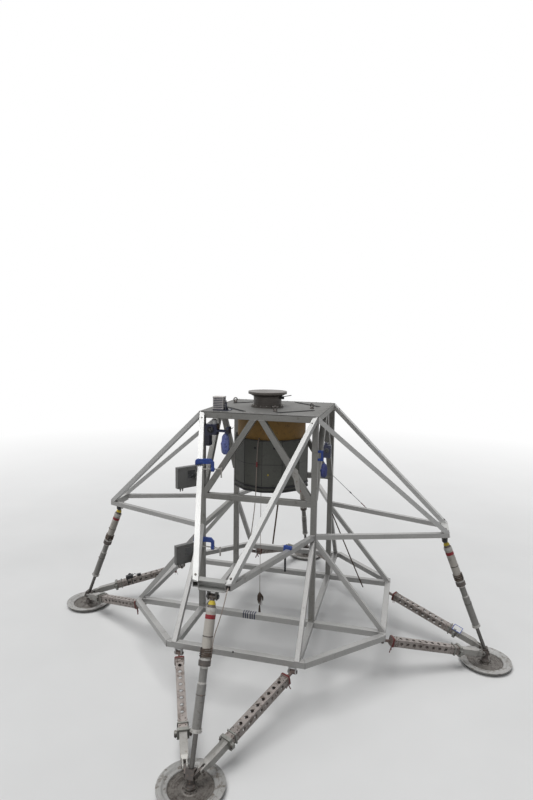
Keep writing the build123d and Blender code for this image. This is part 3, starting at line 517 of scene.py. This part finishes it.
cord("beam_webbing", "beam_strap", 0.007,
     ((0.190, -0.505, 1.4542), (0.181, -0.505, 1.370), (0.150, -0.505, 1.095)),
     strap_brown)
cord("post_hemp", "post_rope", 0.006, ((0.5356, 0.492, 1.092), (0.826, 0.473, 0.452), (0.874, 0.473, 0.352)),
     strap_brown)

# Wire from the right back post to the right leg, with a knot and a red sleeve on it
wire_start, wire_end = (0.5536, 0.4972, 1.4734), (0.888, 0.378, 1.219)
wire_way = Vector(wire_end) - Vector(wire_start)
seat = frame_along((0.7206, 0.4377, 1.3463), wire_way)
for along in (-0.008, -0.001, 0.007):
    knot(seat @ moved(0.0012, 0, along), 0.0062)
slab((0.002, -0.001, -0.010), (0.011, 0.001, -0.006), seat)
wire_knot = piece("wire_knot", black_steel, angle=60)
lathe([(0, 0), (0.0036, 0), (0.0042, 0.002), (0.0042, 0.050), (0.0036, 0.052), (0, 0.052)],
      frame_along((0.8318, 0.3980, 1.2617), wire_way), 14)
wire_sleeve = piece("wire_sleeve", tie_red)
cord("thin_wire", "thin_line", 0.0025, ((0.5318, 0.505, 1.490), wire_start, wire_end),
     cord_dark)

cord("strut_lead", "strut_cable", 0.0035,
     ((0.118, -1.625, 1.196), (0.121, -1.664, 1.192), (0.120, -1.692, 1.160), (0.108, -1.704, 1.090),
      (0.078, -1.716, 0.980), (0.050, -1.726, 0.890), (0.039, -1.734, 0.8054), (0.039, -1.7617, 0.736)),
     cord_pale)


# Perforated boxes of the side struts, as four plates with round holes
wall = 0.005
ease = 0.0009
box_half = 0.032
box_start, box_end = 0.102, 0.722
first_hole, hole_step, hole_count, hole_radius = 0.165, 0.061, 8, 0.0145


def plate(half, place):
    """One wall of a box, along local y, its edges eased"""
    data = bpy.data.curves.new("outline", "CURVE")
    data.dimensions = "2D"
    data.fill_mode = "BOTH"
    half -= ease
    outlines = [[(-half, box_start), (half, box_start), (half, box_end), (-half, box_end)]]
    for k in range(hole_count):
        outlines.append([(x, first_hole + hole_step * k + y) for x, y in circle(28, hole_radius + ease)])
    for outline in outlines:
        spline = data.splines.new("POLY")
        spline.points.add(len(outline) - 1)
        for point, (x, y) in zip(spline.points, outline):
            point.co = (x, y, 0, 1)
        spline.use_cyclic_u = True
    data.extrude = wall / 2 - ease
    data.bevel_depth = ease
    data.bevel_resolution = 1
    obj = bpy.data.objects.new("outline", data)
    scene.collection.objects.link(obj)
    bpy.context.view_layer.update()
    mesh = bpy.data.meshes.new_from_object(obj.evaluated_get(bpy.context.evaluated_depsgraph_get()))
    mesh.transform(place)
    bm.from_mesh(mesh)
    bpy.data.objects.remove(obj)
    bpy.data.curves.remove(data)
    bpy.data.meshes.remove(mesh)


for turn in (0, 2, 1, 3):
    seat = brace @ turned(quarter * turn) @ moved(0, box_half - wall / 2, 0) @ turned(quarter, "X")
    plate(box_half - wall * (turn % 2), seat)
four_legs(mirrored=True)
piece("perforated_boxes", brace_metal_and_painted_shade, replaced=("brace_boxes",))

# Screws at both ends of the boxes, and the bolts, sleeves and screws of the collars
collar_thickness = 0.024
for turn in range(4):
    side = brace @ turned(quarter * turn)
    for along in (0.112, 0.132, 0.645, 0.672, 0.699):
        for across in (-0.019, 0.019):
            screw_head(0.0042, 0.0035, side @ moved(across, box_half, along) @ turned(-quarter, "X"))
for across in (-0.052, 0.052):
    for rise in (-0.009, 0.009):
        seat = brace @ moved(across, rise, box_end + collar_thickness)
        hexagon(0.0065, 0.006, seat)
        lathe([(0, 0), (0.0035, 0), (0.0035, 0.011), (0, 0.011)], seat, 10)
        screw_head(0.006, 0.006, brace @ moved(across, rise, box_end) @ turned(math.pi, "X"))
four_legs(mirrored=True)
piece("side_strut_screws", dark_steel)


def band(half, corner, start, end, thick, place):
    """Closed strip round a square bar with cut corners"""
    rings = []
    for grow, along in ((-0.0003, start), (thick, start), (thick, end), (-0.0003, end)):
        h = half + grow
        c = h - corner
        outline = ((h, -c), (h, c), (c, h), (-c, h), (-h, c), (-h, -c), (-c, -h), (c, -h))
        rings.append([bm.verts.new(place @ Vector((x, y, along))) for x, y in outline])
    bridge(rings, closed=True)


# Red ties round the caps of the side struts, dark blue tape on a base bar, and a blank card with a blue rim on
# the right leg's far side strut
band(0.037, 0.007, 0.079, 0.091, 0.0018, brace)
tie_along = 0.086
knot(brace @ moved(0.016, -0.0405, tie_along), 0.006)
for turn, size in ((0.2, 0.052), (-0.35, 0.040)):
    seat = brace @ moved(0.016, -0.040, tie_along) @ turned(turn) @ turned(turn, "X")
    slab((-0.006, -size, -0.0008), (0.006, 0, 0.0008), seat)
four_legs(mirrored=True)
piece("head_ties", tie_red)
tape_turns, tape_start, tape_step, tape_tilt = 6, -0.107, 0.021, 0.06
for k in range(tape_turns):
    seat = moved(tape_start + tape_step * k, -frame_half, base_z) @ turned(quarter, "Y")
    seat = seat @ turned(tape_tilt * (k % 3 - 1), "X")
    band(half_tube, 0.004, -0.0045, 0.0055 + 0.001 * (k % 2), 0.0016, seat)
piece("blue_tape", unit_dark)
card = turned(quarter) @ brace @ moved(-0.020, 0.046, 0.748) @ turned(0.5)
slab((-0.026, 0, -0.040), (0.034, 0.0015, 0.040), card)
piece("blank_card", cap_white_and_painted_light, bevel=0.0004)
for left, right, low, high in ((-0.028, -0.022, -0.042, 0.042), (0.030, 0.036, -0.042, 0.042),
                               (-0.022, 0.030, -0.042, -0.036), (-0.022, 0.030, 0.036, 0.042)):
    slab((left, -0.0008, low), (right, 0.0023, high), card)
slab((0.010, -0.022, -0.012), (0.013, 0, 0.004), card)
piece("card_rim", clamp_blue, bevel=0.0004)

# Pale strip that hangs from the right V brace
corners = ((0.306, 1.818), (0.368, 1.771), (0.391, 1.560), (0.352, 1.596), (0.320, 1.733))
sides = [[bm.verts.new((x, y, z)) for x, z in corners] for y in (-0.5325, -0.5305)]
bridge(sides)
bm.faces.new(sides[0])
bm.faces.new(sides[1][::-1])
piece("hanging_strip", slide_metal_and_painted_shade, bevel=0.0006)

# Dark device tied to the left leg's far side strut
device_start = 0.545
seat = quarter_turns[2] @ mirror @ brace
slab((-0.021, 0.0322, device_start), (0.021, 0.068, device_start + 0.075), seat)
slab((-0.012, 0.0322, device_start - 0.085), (0.014, 0.056, device_start - 0.045), seat)
lathe([(0, 0), (0.022, 0), (0.022, 0.018), (0.018, 0.021), (0.014, 0.021), (0.012, 0.006), (0, 0.006)],
      seat @ moved(0.021, 0.052, device_start + 0.036) @ turned(quarter, "Y"), 24)
pipe([(0, 0.060, device_start), (0, 0.067, device_start - 0.02), (0, 0.052, device_start - 0.046)], 0.0035,
     place=seat)
piece("strut_device", black_steel, bevel=0.002)
for along in (0.012, 0.058):
    band(0.0322, 0.003, device_start + along, device_start + along + 0.008, 0.0014, seat)
piece("device_ties", rubber_black)

# Footpads: a spun rim with steps, a dish inside it and a turned hub
pad = moved(0, -foot_reach, 0)
pad_segments = 96
lathe([(0.152, 0), (0.194, 0), (0.199, 0.0015), (0.2235, 0.034), (0.225, 0.0365), (0.2245, 0.039),
       (0.222, 0.04), (0.2135, 0.04), (0.212, 0.0388), (0.2085, 0.0388), (0.207, 0.04), (0.191, 0.04),
       (0.1885, 0.0392), (0.1775, 0.0288), (0.175, 0.028), (0.1585, 0.028), (0.1555, 0.0268), (0.152, 0.0215)],
      pad, pad_segments, closed=True)
four_legs()
piece("footpad_rims", pad_paint, replaced=("footpads",))
lathe([(0, 0), (0.1516, 0), (0.1516, 0.0212), (0.1455, 0.0135), (0.142, 0.0122), (0.131, 0.012),
       (0.1295, 0.0142), (0.1265, 0.0142), (0.125, 0.012), (0.112, 0.012), (0.1105, 0.0142), (0.1065, 0.0142),
       (0.105, 0.012), (0.0925, 0.012), (0.091, 0.0142), (0.087, 0.0142), (0.0855, 0.012), (0.066, 0.012),
       (0.063, 0.0145), (0.0605, 0.016), (0.0425, 0.016), (0.0405, 0.018), (0.04, 0.0325), (0.0385, 0.034),
       (0, 0.034)],
      pad, pad_segments)
four_legs()
piece("footpad_dishes", dish_metal, replaced=("footpads",))
for k in range(8):
    screw_head(0.0052, 0.005, pad @ turned(math.pi / 4 * (k + 0.5)) @ moved(0.0515, 0, 0.016))
four_legs()
piece("footpad_screws", dark_steel)

# Shock struts: red bands, yellow cones, steel bands, clips and screws on the plain cylinders
cylinder_radius, tube_radius, sleeve_radius = 0.035, 0.027, 0.031
lathe([(0.035, 0.117), (0.0356, 0.1174), (0.0356, 0.1446), (0.035, 0.145)], strut, 40)
four_legs()
piece("strut_red_bands", strut_red)
lathe([(0.0165, 0.028), (0.0185, 0.0285), (0.0275, 0.052), (0.0275, 0.054), (0.024, 0.054)], strut, 40)
four_legs()
piece("strut_cones", yellow_paint)
for start, end, radius in ((0.074, 0.098, cylinder_radius), (0.3905, 0.4045, cylinder_radius),
                           (0.4395, 0.4555, tube_radius), (0.5385, 0.5515, tube_radius)):
    lathe([(radius, start), (radius + 0.0016, start + 0.001), (radius + 0.0016, end - 0.001), (radius, end)],
          strut, 40)
four_legs()
piece("strut_bands", ring_metal)
for start, radius, width in ((0.252, cylinder_radius, 0.007), (0.612, sleeve_radius, 0.006)):
    lathe([(radius - 0.0005, start), (radius + 0.0014, start + 0.0006), (radius + 0.0017, start + width / 2),
           (radius + 0.0014, start + width - 0.0006), (radius - 0.0005, start + width)], strut, 36)
    seat = strut @ moved(0, 0, start + width / 2) @ turned(0.9)
    slab((radius, -0.005, -width / 2), (radius + 0.007, 0.005, width / 2), seat)
four_legs()
piece("strut_clips", dark_steel, bevel=0.0006)
for k in range(8):
    screw_head(0.0032, 0.003, strut @ turned(math.pi / 4 * k) @ moved(0.0385, 0, 0.405) @ turned(math.pi, "X"))
for k in range(6):
    screw_head(0.0036, 0.004, strut @ turned(math.pi / 3 * k) @ moved(0.036, 0, 0.827) @ turned(quarter, "Y"))
four_legs()
piece("strut_screws", eye_steel)

# Turns of cable wound tight round the shock struts of the front, right and left legs, held by two ties
side_legs = [quarter_turns[0], quarter_turns[2]]
wrap_count, wrap_start, wrap_step, wrap_radius = 7, 0.333, 0.0078, 0.0392
for k in range(wrap_count):
    tilt = turned(0.1 * math.sin(2.1 * k), "X") @ turned(0.09 * math.cos(3.3 * k), "Y")
    seat = strut @ moved(0, 0, wrap_start + wrap_step * k) @ tilt
    pipe([(x, y, 0) for x, y in circle(28, wrap_radius)], 0.0036, closed=True, place=seat)
copies(side_legs)
piece("strut_wraps", strap_brown, angle=60)
for turn in (-0.4, 2.2):
    slab((0.035, -0.003, 0.324), (0.0438, 0.003, 0.3895), strut @ turned(turn))
copies(side_legs)
piece("wrap_ties", black_steel, bevel=0.001)

# Weld beads of the frame. Those at the ends of the mid beams, on two sides alone, are made first and wait
# in a mesh of their own while the rest is copied to all four sides
for y in (-post_inside, -post_face):
    weld((post_inside, y, mid_low), (post_inside, y, mid_high))
for z in (mid_low, mid_high):
    weld((post_inside, -post_face, z), (post_inside, -post_inside, z))
copies([mirror], flip=True)
copies([turned(math.pi)])
beam_beads = bpy.data.meshes.new("beam_beads")
bm.to_mesh(beam_beads)
bm.clear()
for z in (base_top, beam_under):
    low, high = post_inside, post_face
    weld_round([(low, -low, z), (high, -low, z), (high, -high, z), (low, -high, z)])
level_half = half_outrigger / math.cos(plan_angle)
left, right = outrigger_x - level_half, outrigger_x + level_half
for low, high in ((level_z - half_outrigger, level_z + half_outrigger),
                  (deck_z - 2 * half_outrigger / math.cos(slope_angle), deck_z - 0.001)):
    weld_round([(left, -post_face, low), (right, -post_face, low),
                (right, -post_face, high), (left, -post_face, high)])
low = level_z - half_outrigger - 2 * half_outrigger / math.cos(diagonal_angle)
left, right = frame_half - half_outrigger, frame_half + half_outrigger
for x in (left, right):
    weld((x, -post_face, low), (x, -post_face, level_z - half_outrigger))
weld((left, -post_face, low), (right, -post_face, low))
heel = octagon_face - 2 * half_outrigger / math.sin(diagonal_angle)
weld_round([(left, -octagon_face, base_top), (right, -octagon_face, base_top),
            (right, -heel, base_top), (left, -heel, base_top)])
inner = half_tube - octagon_half
weld((post_inside, inner, base_top), (post_face, inner, base_top))
mitre = half_tube * math.tan(math.radians(22.5))
corner = octagon_corner + mitre
weld((octagon_corner - mitre, inner, base_top), (corner, -octagon_face, base_top))
weld((corner, -octagon_face, base_top), (corner, -octagon_face, base_z - half_tube))
bracket_side = bracket_half - level_half
flange = 0.032
for z in (level_z + flange, level_z - flange):
    weld((bracket_side, -bracket_reach + 0.003, z), (bracket_side + 0.019, -bracket_reach + 0.058, z))
vee_x = 0.040
vee_half = half_tube / math.sin(math.atan2(beam_under - mid_high, post_inside - vee_x))
for y in (-post_inside, -post_face):
    weld((vee_x - vee_half, y, beam_under), (vee_x + vee_half, y, beam_under))
four_legs(mirrored=True)
bm.from_mesh(beam_beads)
bpy.data.meshes.remove(beam_beads)
piece("weld_beads", weld_metal, angle=60)

# Bolts at both ends of the sloping tubes, and a plugged hole in the base bar at each leg
slope_face = moved(bracket_half, -bracket_reach, slope_start) @ turned(-plan_angle) @ turned(slope_angle, "X")
hexagon(0.0085, 0.006, slope_face @ moved(0, 0.042, 0))
hexagon(0.0065, 0.005, slope_face @ moved(0, 1.48, 0))
four_legs(mirrored=True)
piece("slope_bolts", dark_steel)
lathe([(0, 0), (0.0085, 0), (0.0085, 0.0006), (0.0065, 0.0008), (0.006, 0.0003), (0, 0.0003)],
      moved(-0.003, -octagon_face, 0.434) @ turned(quarter, "X"), 20)
four_legs()
piece("bar_plugs", rubber_black)

# Lifting eyes: turned rings on a foot, over the plain ones
for x, y, turn in ((-0.440, 0.240, 20), (0.382, 0, -30), (0.109, -0.325, 10), (-0.110, 0.350, 0)):
    seat = moved(x, y, deck_top) @ turned(math.radians(turn))
    lathe([(0, 0), (0.0195, 0), (0.02, 0.0008), (0.02, 0.0055), (0.0165, 0.008), (0.0105, 0.0085),
           (0.0078, 0.011), (0.0072, 0.014)], seat, 28)
    pipe([(x, 0, 0.028 + z) for x, z in circle(36, 0.0172)], 0.0055, 12, closed=True, place=seat)
piece("ring_bolts", dark_steel, replaced=("lifting_eyes",))

# Adapter: screws of the flange and the cap, and ridges round the body and the cap
adapter = moved(-0.045, 0, deck_top)
flange_bolts, cap_screws = 16, 24
for k in range(flange_bolts):
    hexagon(0.0062, 0.006, adapter @ turned(2 * math.pi / flange_bolts * (k + 0.5)) @ moved(0.1435, 0, 0.014))
for k in range(cap_screws):
    screw_head(0.0038, 0.0025, adapter @ turned(2 * math.pi / cap_screws * k) @ moved(0.170, 0, 0.1435))
piece("adapter_screws", eye_steel)
for low, high in ((0.03, 0.036), (0.056, 0.0585), (0.09, 0.094)):
    lathe([(0.1315, low), (0.1345, low + 0.001), (0.1345, high - 0.001), (0.1315, high)], adapter, 72)
lathe([(0.1825, 0.1275), (0.1832, 0.128), (0.1832, 0.133), (0.1825, 0.1335)], adapter, 72)
piece("adapter_ridges", adapter_paint)

# Adapter: locking lever at its right
seat = moved(0.088, -0.02, deck_top + 0.092) @ turned(-0.25)
slab((0, -0.009, -0.014), (0.032, 0.009, 0.014), seat)
slab((0.026, -0.006, 0.002), (0.112, 0.006, 0.009), seat @ turned(-0.2, "Y"))
piece("adapter_lever", black_steel, bevel=0.0015)

# Deck: rims round the slots, screws along the edges
slot_reach = 0.404
for k in range(4):
    seat = turned(math.pi / 4 + quarter * k) @ moved(slot_reach, 0, deck_top)
    for low, high in (((-0.016, -0.198, 0), (-0.010, 0.198, 0.004)),
                      ((0.010, -0.198, 0), (0.016, 0.198, 0.004)),
                      ((-0.010, -0.198, 0), (0.010, -0.192, 0.004)),
                      ((-0.010, 0.192, 0), (0.010, 0.198, 0.004)),
                      ((-0.0098, -0.1915, -0.006), (0.0098, 0.1915, -0.003))):
        slab(low, high, seat)
piece("slot_rims", rubber_black)
screw_count, screw_start, screw_step, screw_row = 14, -0.486, 0.0748, -0.511
for k in range(screw_count):
    hexagon(0.0052, 0.0035, moved(screw_start + screw_step * k, screw_row, deck_top))
copies(quarter_turns)
piece("deck_screws", eye_steel)

# Device on the deck: slats, lid, and the mast's ribs and top with the screws of the base
slat_step, slat_height = 0.0152, 0.0062
for k in range(6):
    z = deck_top + 0.024 + slat_step * k
    slab((-0.432, -0.4318, z), (-0.346, -0.4308, z + slat_height))
    slab((-0.3402, -0.424, z), (-0.3392, -0.360, z + slat_height))
piece("device_slats", unit_dark)
slab((-0.4395, -0.4325, deck_top + 0.112), (-0.3385, -0.3515, deck_top + 0.1222))
piece("device_lid", device_pale, bevel=0.002)
device_floor = deck_top + 0.006
mast = moved(-0.320, -0.405, device_floor)
for turn in range(4):
    side = mast @ turned(quarter * turn)
    rib = [bm.verts.new(side @ Vector((x, y, z))) for y in (-0.002, 0.002)
           for x, z in ((0.006, 0), (0.024, 0), (0.006, 0.03))]
    for face in ((0, 1, 2), (5, 4, 3), (0, 3, 4, 1), (1, 4, 5, 2), (2, 5, 3, 0)):
        bm.faces.new([rib[i] for i in face])
lathe([(0, 0.060), (0.0085, 0.060), (0.0085, 0.066), (0.003, 0.072), (0.003, 0.084), (0, 0.084)], mast, 16)
for x, y in ((-0.432, -0.437), (-0.292, -0.437), (-0.432, -0.348), (-0.292, -0.348)):
    screw_head(0.0042, 0.0035, moved(x, y, device_floor))
piece("mast_ribs", black_steel)

# Drum: seams on its edges, two service holes and a marker lamp
drum_sides, drum_radius, drum_low, drum_high = 12, 0.352, 1.556, 1.966
for x, y in circle(drum_sides, drum_radius):
    pipe([(x, y, drum_low), (x, y, drum_high)], 0.0022)
for z in (1.752, 1.9655):
    pipe([(x, y, z) for x, y in circle(drum_sides, drum_radius + 0.0002)], 0.0016, 6, closed=True)
piece("drum_seams", black_steel)
facets = [turned(math.radians(t)) @ moved(0, -0.34, 0) @ turned(quarter, "X") for t in (-15, 15)]
for facet, z in zip(facets, (1.90, 1.905)):
    lathe([(0, 0), (0.0115, 0), (0.0115, 0.0012), (0.009, 0.0016), (0.0085, 0.0004), (0, 0.0004)],
          facet @ moved(0.02, z, 0), 20)
piece("drum_ports", rubber_black)
lathe([(0, 0), (0.008, 0), (0.008, 0.004), (0.005, 0.008), (0, 0.009)],
      facets[1] @ moved(-0.035, 1.660, 0), 16)
piece("marker_lamp", yellow_paint)

# Unit at the left post: white cap, lens, ribs and knob
lathe([(0, 0), (0.025, 0), (0.026, 0.002), (0.026, 0.030), (0.023, 0.037), (0.012, 0.041), (0, 0.042)],
      moved(-0.400, -0.490, 2.124))
piece("unit_cap", cap_white_and_painted_light)
unit_front = -0.525
front_of_unit = moved(-0.424, unit_front, 2.078) @ turned(quarter, "X")
lathe([(0, 0), (0.029, 0), (0.029, 0.010), (0.026, 0.012), (0.022, 0.012), (0.020, 0.004), (0, 0.0035)],
      front_of_unit)
for x in (-0.474, -0.374):
    for z in (2.037, 2.117):
        screw_head(0.0034, 0.0025, moved(x, unit_front, z) @ turned(quarter, "X"))
for k in range(6):
    slab((-0.4805, -0.5275, 1.938 + 0.0145 * k), (-0.4335, unit_front, 1.944 + 0.0145 * k))
knob = moved(-0.269, unit_front, 2.074) @ turned(quarter, "X")
lathe([(0, 0), (0.012, 0), (0.012, 0.008), (0.009, 0.011), (0, 0.011)], knob, 10)
pipe([(-0.256, -0.488, 2.090), (-0.236, -0.488, 2.092), (-0.226, -0.488, 2.103)], 0.003)
piece("unit_parts", black_steel, bevel=0.0006)
lathe([(0, 0.0042), (0.0195, 0.0042), (0.018, 0.0065), (0.010, 0.0085), (0, 0.009)], front_of_unit, 28)
piece("unit_lens", glass_dark)


def pouch(top, width, height, depth):
    """Soft bag, gathered at the neck, wider low down"""
    points = 28
    rings = []
    for share, size in ((0, 0.16), (0.05, 0.2), (0.1, 0.5), (0.2, 0.78), (0.36, 0.86), (0.52, 1), (0.66, 0.9),
                        (0.8, 0.98), (0.93, 0.8), (1, 0.45)):
        ring = []
        for k in range(points):
            a = 2 * math.pi * k / points
            crease = 1 + 0.12 * math.sin(5 * a + 6 * share) + 0.07 * math.sin(8 * a - 11 * share)
            x, y = width / 2 * size * crease * math.cos(a), depth / 2 * size * crease * math.sin(a)
            ring.append(bm.verts.new(Vector(top) + Vector((x, y, -height * share))))
        rings.append(ring)
    bridge(rings)
    bm.faces.new(rings[0])
    bm.faces.new(rings[-1][::-1])


# The blue one hangs from the unit's arm, the dark one beside the device on the right post
pouch((-0.294, -0.500, 2.058), 0.074, 0.198, 0.05)
piece("blue_pouches", pouch_blue, angle=60)
pouch((0.584, -0.508, 1.850), 0.056, 0.128, 0.04)
pipe([(0.572, -0.508, 1.864), (0.578, -0.508, 1.862), (0.584, -0.508, 1.846)], 0.003)
piece("dark_pouch", pouch_dark, angle=60)

# Device clamped to the right post: a dark box with a lens and ribs, on a small blue clamp
for left, right, low, high in ((0.5562, 0.5782, 1.862, 1.950), (0.5302, 0.5562, 1.930, 1.950),
                               (0.5302, 0.5562, 1.862, 1.882)):
    slab((left, -0.520, low), (right, -0.494, high))
piece("post_clamp", clamp_blue, bevel=0.003)
slab((0.5784, -0.535, 1.896), (0.638, -0.478, 2.002))
slab((0.584, -0.530, 2.002), (0.612, -0.486, 2.020))
for k in range(5):
    slab((0.638, -0.530, 1.906 + 0.019 * k), (0.6405, -0.483, 1.914 + 0.019 * k))
piece("post_device", unit_dark, bevel=0.003)
lathe([(0, 0), (0.020, 0), (0.020, 0.010), (0.017, 0.012), (0.014, 0.012), (0.012, 0.004), (0, 0.004)],
      moved(0.608, -0.535, 1.960) @ turned(quarter, "X"), 28)
piece("post_lens", glass_dark)

# Flat boxes: lid, dark window and screws on the face that is turned to the front, connectors below
box_turn = math.radians(52)
box_faces = [upright(corner, box_turn) for corner in ((-0.3631, -0.9925, 1.8642), (-0.5250, -0.6600, 1.0873))]
for seat in box_faces:
    slab((-0.167, -0.163, 0), (-0.005, -0.005, 0.002), seat)
    for left, right, low, high in ((-0.090, -0.018, -0.098, -0.094), (-0.090, -0.018, -0.030, -0.026),
                                   (-0.090, -0.086, -0.094, -0.030), (-0.022, -0.018, -0.094, -0.030)):
        slab((left, low, 0.002), (right, high, 0.0045), seat)
piece("box_lids", box_grey, bevel=0.0006)
for seat in box_faces:
    slab((-0.086, -0.094, 0.002), (-0.022, -0.030, 0.0028), seat)
piece("box_windows", glass_dark)
for seat in box_faces:
    for x in (-0.159, -0.086, -0.013):
        for y in (-0.155, -0.013):
            screw_head(0.0036, 0.0025, seat @ moved(x, y, 0.002))
    for x in (-0.14, -0.12):
        lathe([(0, 0), (0.007, 0), (0.007, 0.012), (0.0045, 0.014), (0.0045, 0.026), (0, 0.026)],
              seat @ moved(x, -0.168, -0.02) @ turned(quarter, "X"), 16)
piece("box_screws", dark_steel)


# Clamps: thread and boss of the screws, swivel pads, ball ends of the bars

def on_outrigger(side, along, z):
    """Point on the front leg's left (-1) or right (1) outrigger, so far along it from the bracket"""
    share = along / outrigger_span
    return (side * (bracket_half + share * (outrigger_x - bracket_half)),
            share * (bracket_reach - post_face) - bracket_reach, z)


# Frame of each clamp, and how far its screw reaches
upper_z = slope_start + math.tan(slope_angle) * 0.751
lower_z = level_z - half_outrigger - math.tan(diagonal_angle) * 0.071
clamps = ((upright(on_outrigger(-1, 0.740, upper_z), plan_angle), 0.116),
          (upright((-frame_half, -post_face - 0.082, lower_z), 0), 0.150))
thread_step, thread_crest, thread_root = 0.0022, 0.0056, 0.0047
for place, reach in clamps:
    screw = place @ moved(0, -0.045, 0) @ turned(quarter, "Y")
    for start, end in ((half_outrigger + 0.012, reach - 0.026), (reach + 0.008, reach + 0.050)):
        count = round((end - start) / thread_step)
        pipe([(0, 0, start + (end - start) * k / count) for k in range(count + 1)],
             lambda k: thread_crest if k % 2 else thread_root, 10, place=screw)
    start = half_outrigger
    lathe([(0, start), (0.0125, start), (0.0125, start + 0.004), (0.008, start + 0.009), (0.008, start + 0.013),
           (0, start + 0.013)], screw, 20)
    lathe([(0, reach), (0.0095, reach), (0.0095, reach + 0.007), (0, reach + 0.007)], screw, 6)
    for y in (-0.039, -0.111):
        knot(place @ moved(reach + 0.057, y, 0), 0.0072)
piece("clamp_threads", eye_steel, angle=60)
for place, reach in clamps:
    slab((reach - 0.0285, -0.055, -0.0125), (reach + 0.0025, -0.035, 0.0125), place)
    for x in (0, reach - 0.04):
        slab((x, 0.017, -0.0125), (x + 0.028, 0.023, 0.0125), place)
piece("clamp_bosses", clamp_blue, bevel=0.002)
# Bar of the third clamp, which hangs from the front leg's right level tube, and the pale sleeve on the
# second clamp's bar
place = upright(on_outrigger(1, 0.790, level_z), -plan_angle)
slab((-0.0395, -0.1685, -0.0065), (-0.0265, -0.0205, 0.0065), place)
slab((-0.0425, -0.052, -0.0085), (-0.0235, -0.030, 0.0085), place)
knot(place @ moved(-0.033, -0.166, 0), 0.0085)
piece("hanging_bar", black_steel, bevel=0.0015)
place, reach = clamps[1]
slab((reach + 0.0505, -0.103, -0.0065), (reach + 0.0635, -0.047, 0.0065), place)
piece("bar_sleeve", device_pale, bevel=0.002)

# Camera at the photograph's viewing angle: place, turn to the left, tilt down, roll
eye = Vector((1.2396, -5.0102, 2.8711))
yaw, pitch, roll = math.radians(14.494), math.radians(6.304), math.radians(-0.801)
forward = Vector((-math.sin(yaw) * math.cos(pitch), math.cos(yaw) * math.cos(pitch), -math.sin(pitch)))
right = Vector((math.cos(yaw), math.sin(yaw), 0))
down = forward.cross(right)
image_right = right * math.cos(roll) + down * math.sin(roll)
image_down = down * math.cos(roll) - right * math.sin(roll)
focal_pixels, photo_width, sensor_width = 548.8, 533, 36
camera_data = bpy.data.cameras.new("camera")
camera_data.sensor_fit = "HORIZONTAL"
camera_data.sensor_width = sensor_width
camera_data.lens = focal_pixels / photo_width * sensor_width
camera = bpy.data.objects.new("camera", camera_data)
scene.collection.objects.link(camera)
turn = Matrix((image_right, -image_down, -forward)).transposed()
camera.matrix_world = Matrix.Translation(eye) @ turn.to_4x4()
scene.camera = camera


# Floor that fades to white far away, and soft light. Rays from the camera and mirrored ones see it pale; it is
# darker for the light that it throws back on the part

def seen(tree):
    """1 for rays that the camera sees, also through glass, and 1 for those and mirrored ones"""
    rays = tree.nodes.new("ShaderNodeLightPath").outputs
    straight = add(tree, "Math", {0: rays["Is Camera Ray"], 1: rays["Is Transmission Ray"]},
                   "MAXIMUM").outputs[0]
    return straight, add(tree, "Math", {0: straight, 1: rays["Is Glossy Ray"]}, "MAXIMUM").outputs[0]


def blend(tree, factor, first, second):
    return add(tree, "MixShader", {"Fac": factor, 1: first.outputs[0], 2: second.outputs[0]}).outputs[0]


floor_radius = 60
bmesh.ops.create_circle(bm, cap_ends=True, segments=96, radius=floor_radius)
floor_mesh = bpy.data.meshes.new("floor")
bm.to_mesh(floor_mesh)
bm.free()
floor = bpy.data.objects.new("floor", floor_mesh)
scene.collection.objects.link(floor)
floor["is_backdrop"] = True
mat, tree, shader = new_tree("floor")
coordinates = tree.nodes.new("ShaderNodeTexCoord").outputs["Object"]
pale = ramp(tree, noise(tree, coordinates, 0.8), [(0.3, (0.70, 0.70, 0.695)), (0.7, (0.74, 0.74, 0.735))])
straight, direct = seen(tree)
feed(tree, shader, {"Roughness": 0.85, "Base Color": mix_colour(tree, direct, (0.22, 0.218, 0.215), pale)})
far = add(tree, "VectorMath", {0: coordinates}, "LENGTH").outputs["Value"]
fade_start, fade_end = 3.5, 13
fade = add(tree, "Math", {0: spread(tree, far, 0, 1, fade_start, fade_end), 1: straight}, "MULTIPLY").outputs[0]
white = add(tree, "Emission", {"Color": (1, 1, 1, 1), "Strength": 1})
feed(tree, tree.nodes["Material Output"], {"Surface": blend(tree, fade, shader, white)})
floor.data.materials.append(mat)

world = bpy.data.worlds.new("studio")
scene.world = world
world.use_nodes = True
tree = world.node_tree
tree.nodes.clear()
plain = add(tree, "Background", {"Color": (1, 1, 1, 1), "Strength": 1})
soft = add(tree, "Background", {"Color": (0.93, 0.96, 1, 1), "Strength": 0.17})
add(tree, "OutputWorld", {"Surface": blend(tree, seen(tree)[1], soft, plain)})


def lamp(name, place, strength, softness):
    """Sun lamp that shines from the place to the origin; softness is its angle in degrees"""
    data = bpy.data.lights.new(name, "SUN")
    data.energy = strength
    data.angle = math.radians(softness)
    obj = bpy.data.objects.new(name, data)
    scene.collection.objects.link(obj)
    obj.rotation_euler = (-Vector(place)).to_track_quat("-Z", "Y").to_euler()


lamp("overhead", (-1.4, -1.6, 8.0), 2.3, 44)
lamp("front", (-3.0, -7.0, 4.0), 0.14, 40)
lamp("back", (1.0, 8.0, 6.0), 0.14, 40)

scene.view_settings.view_transform = "Standard"

low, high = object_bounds()
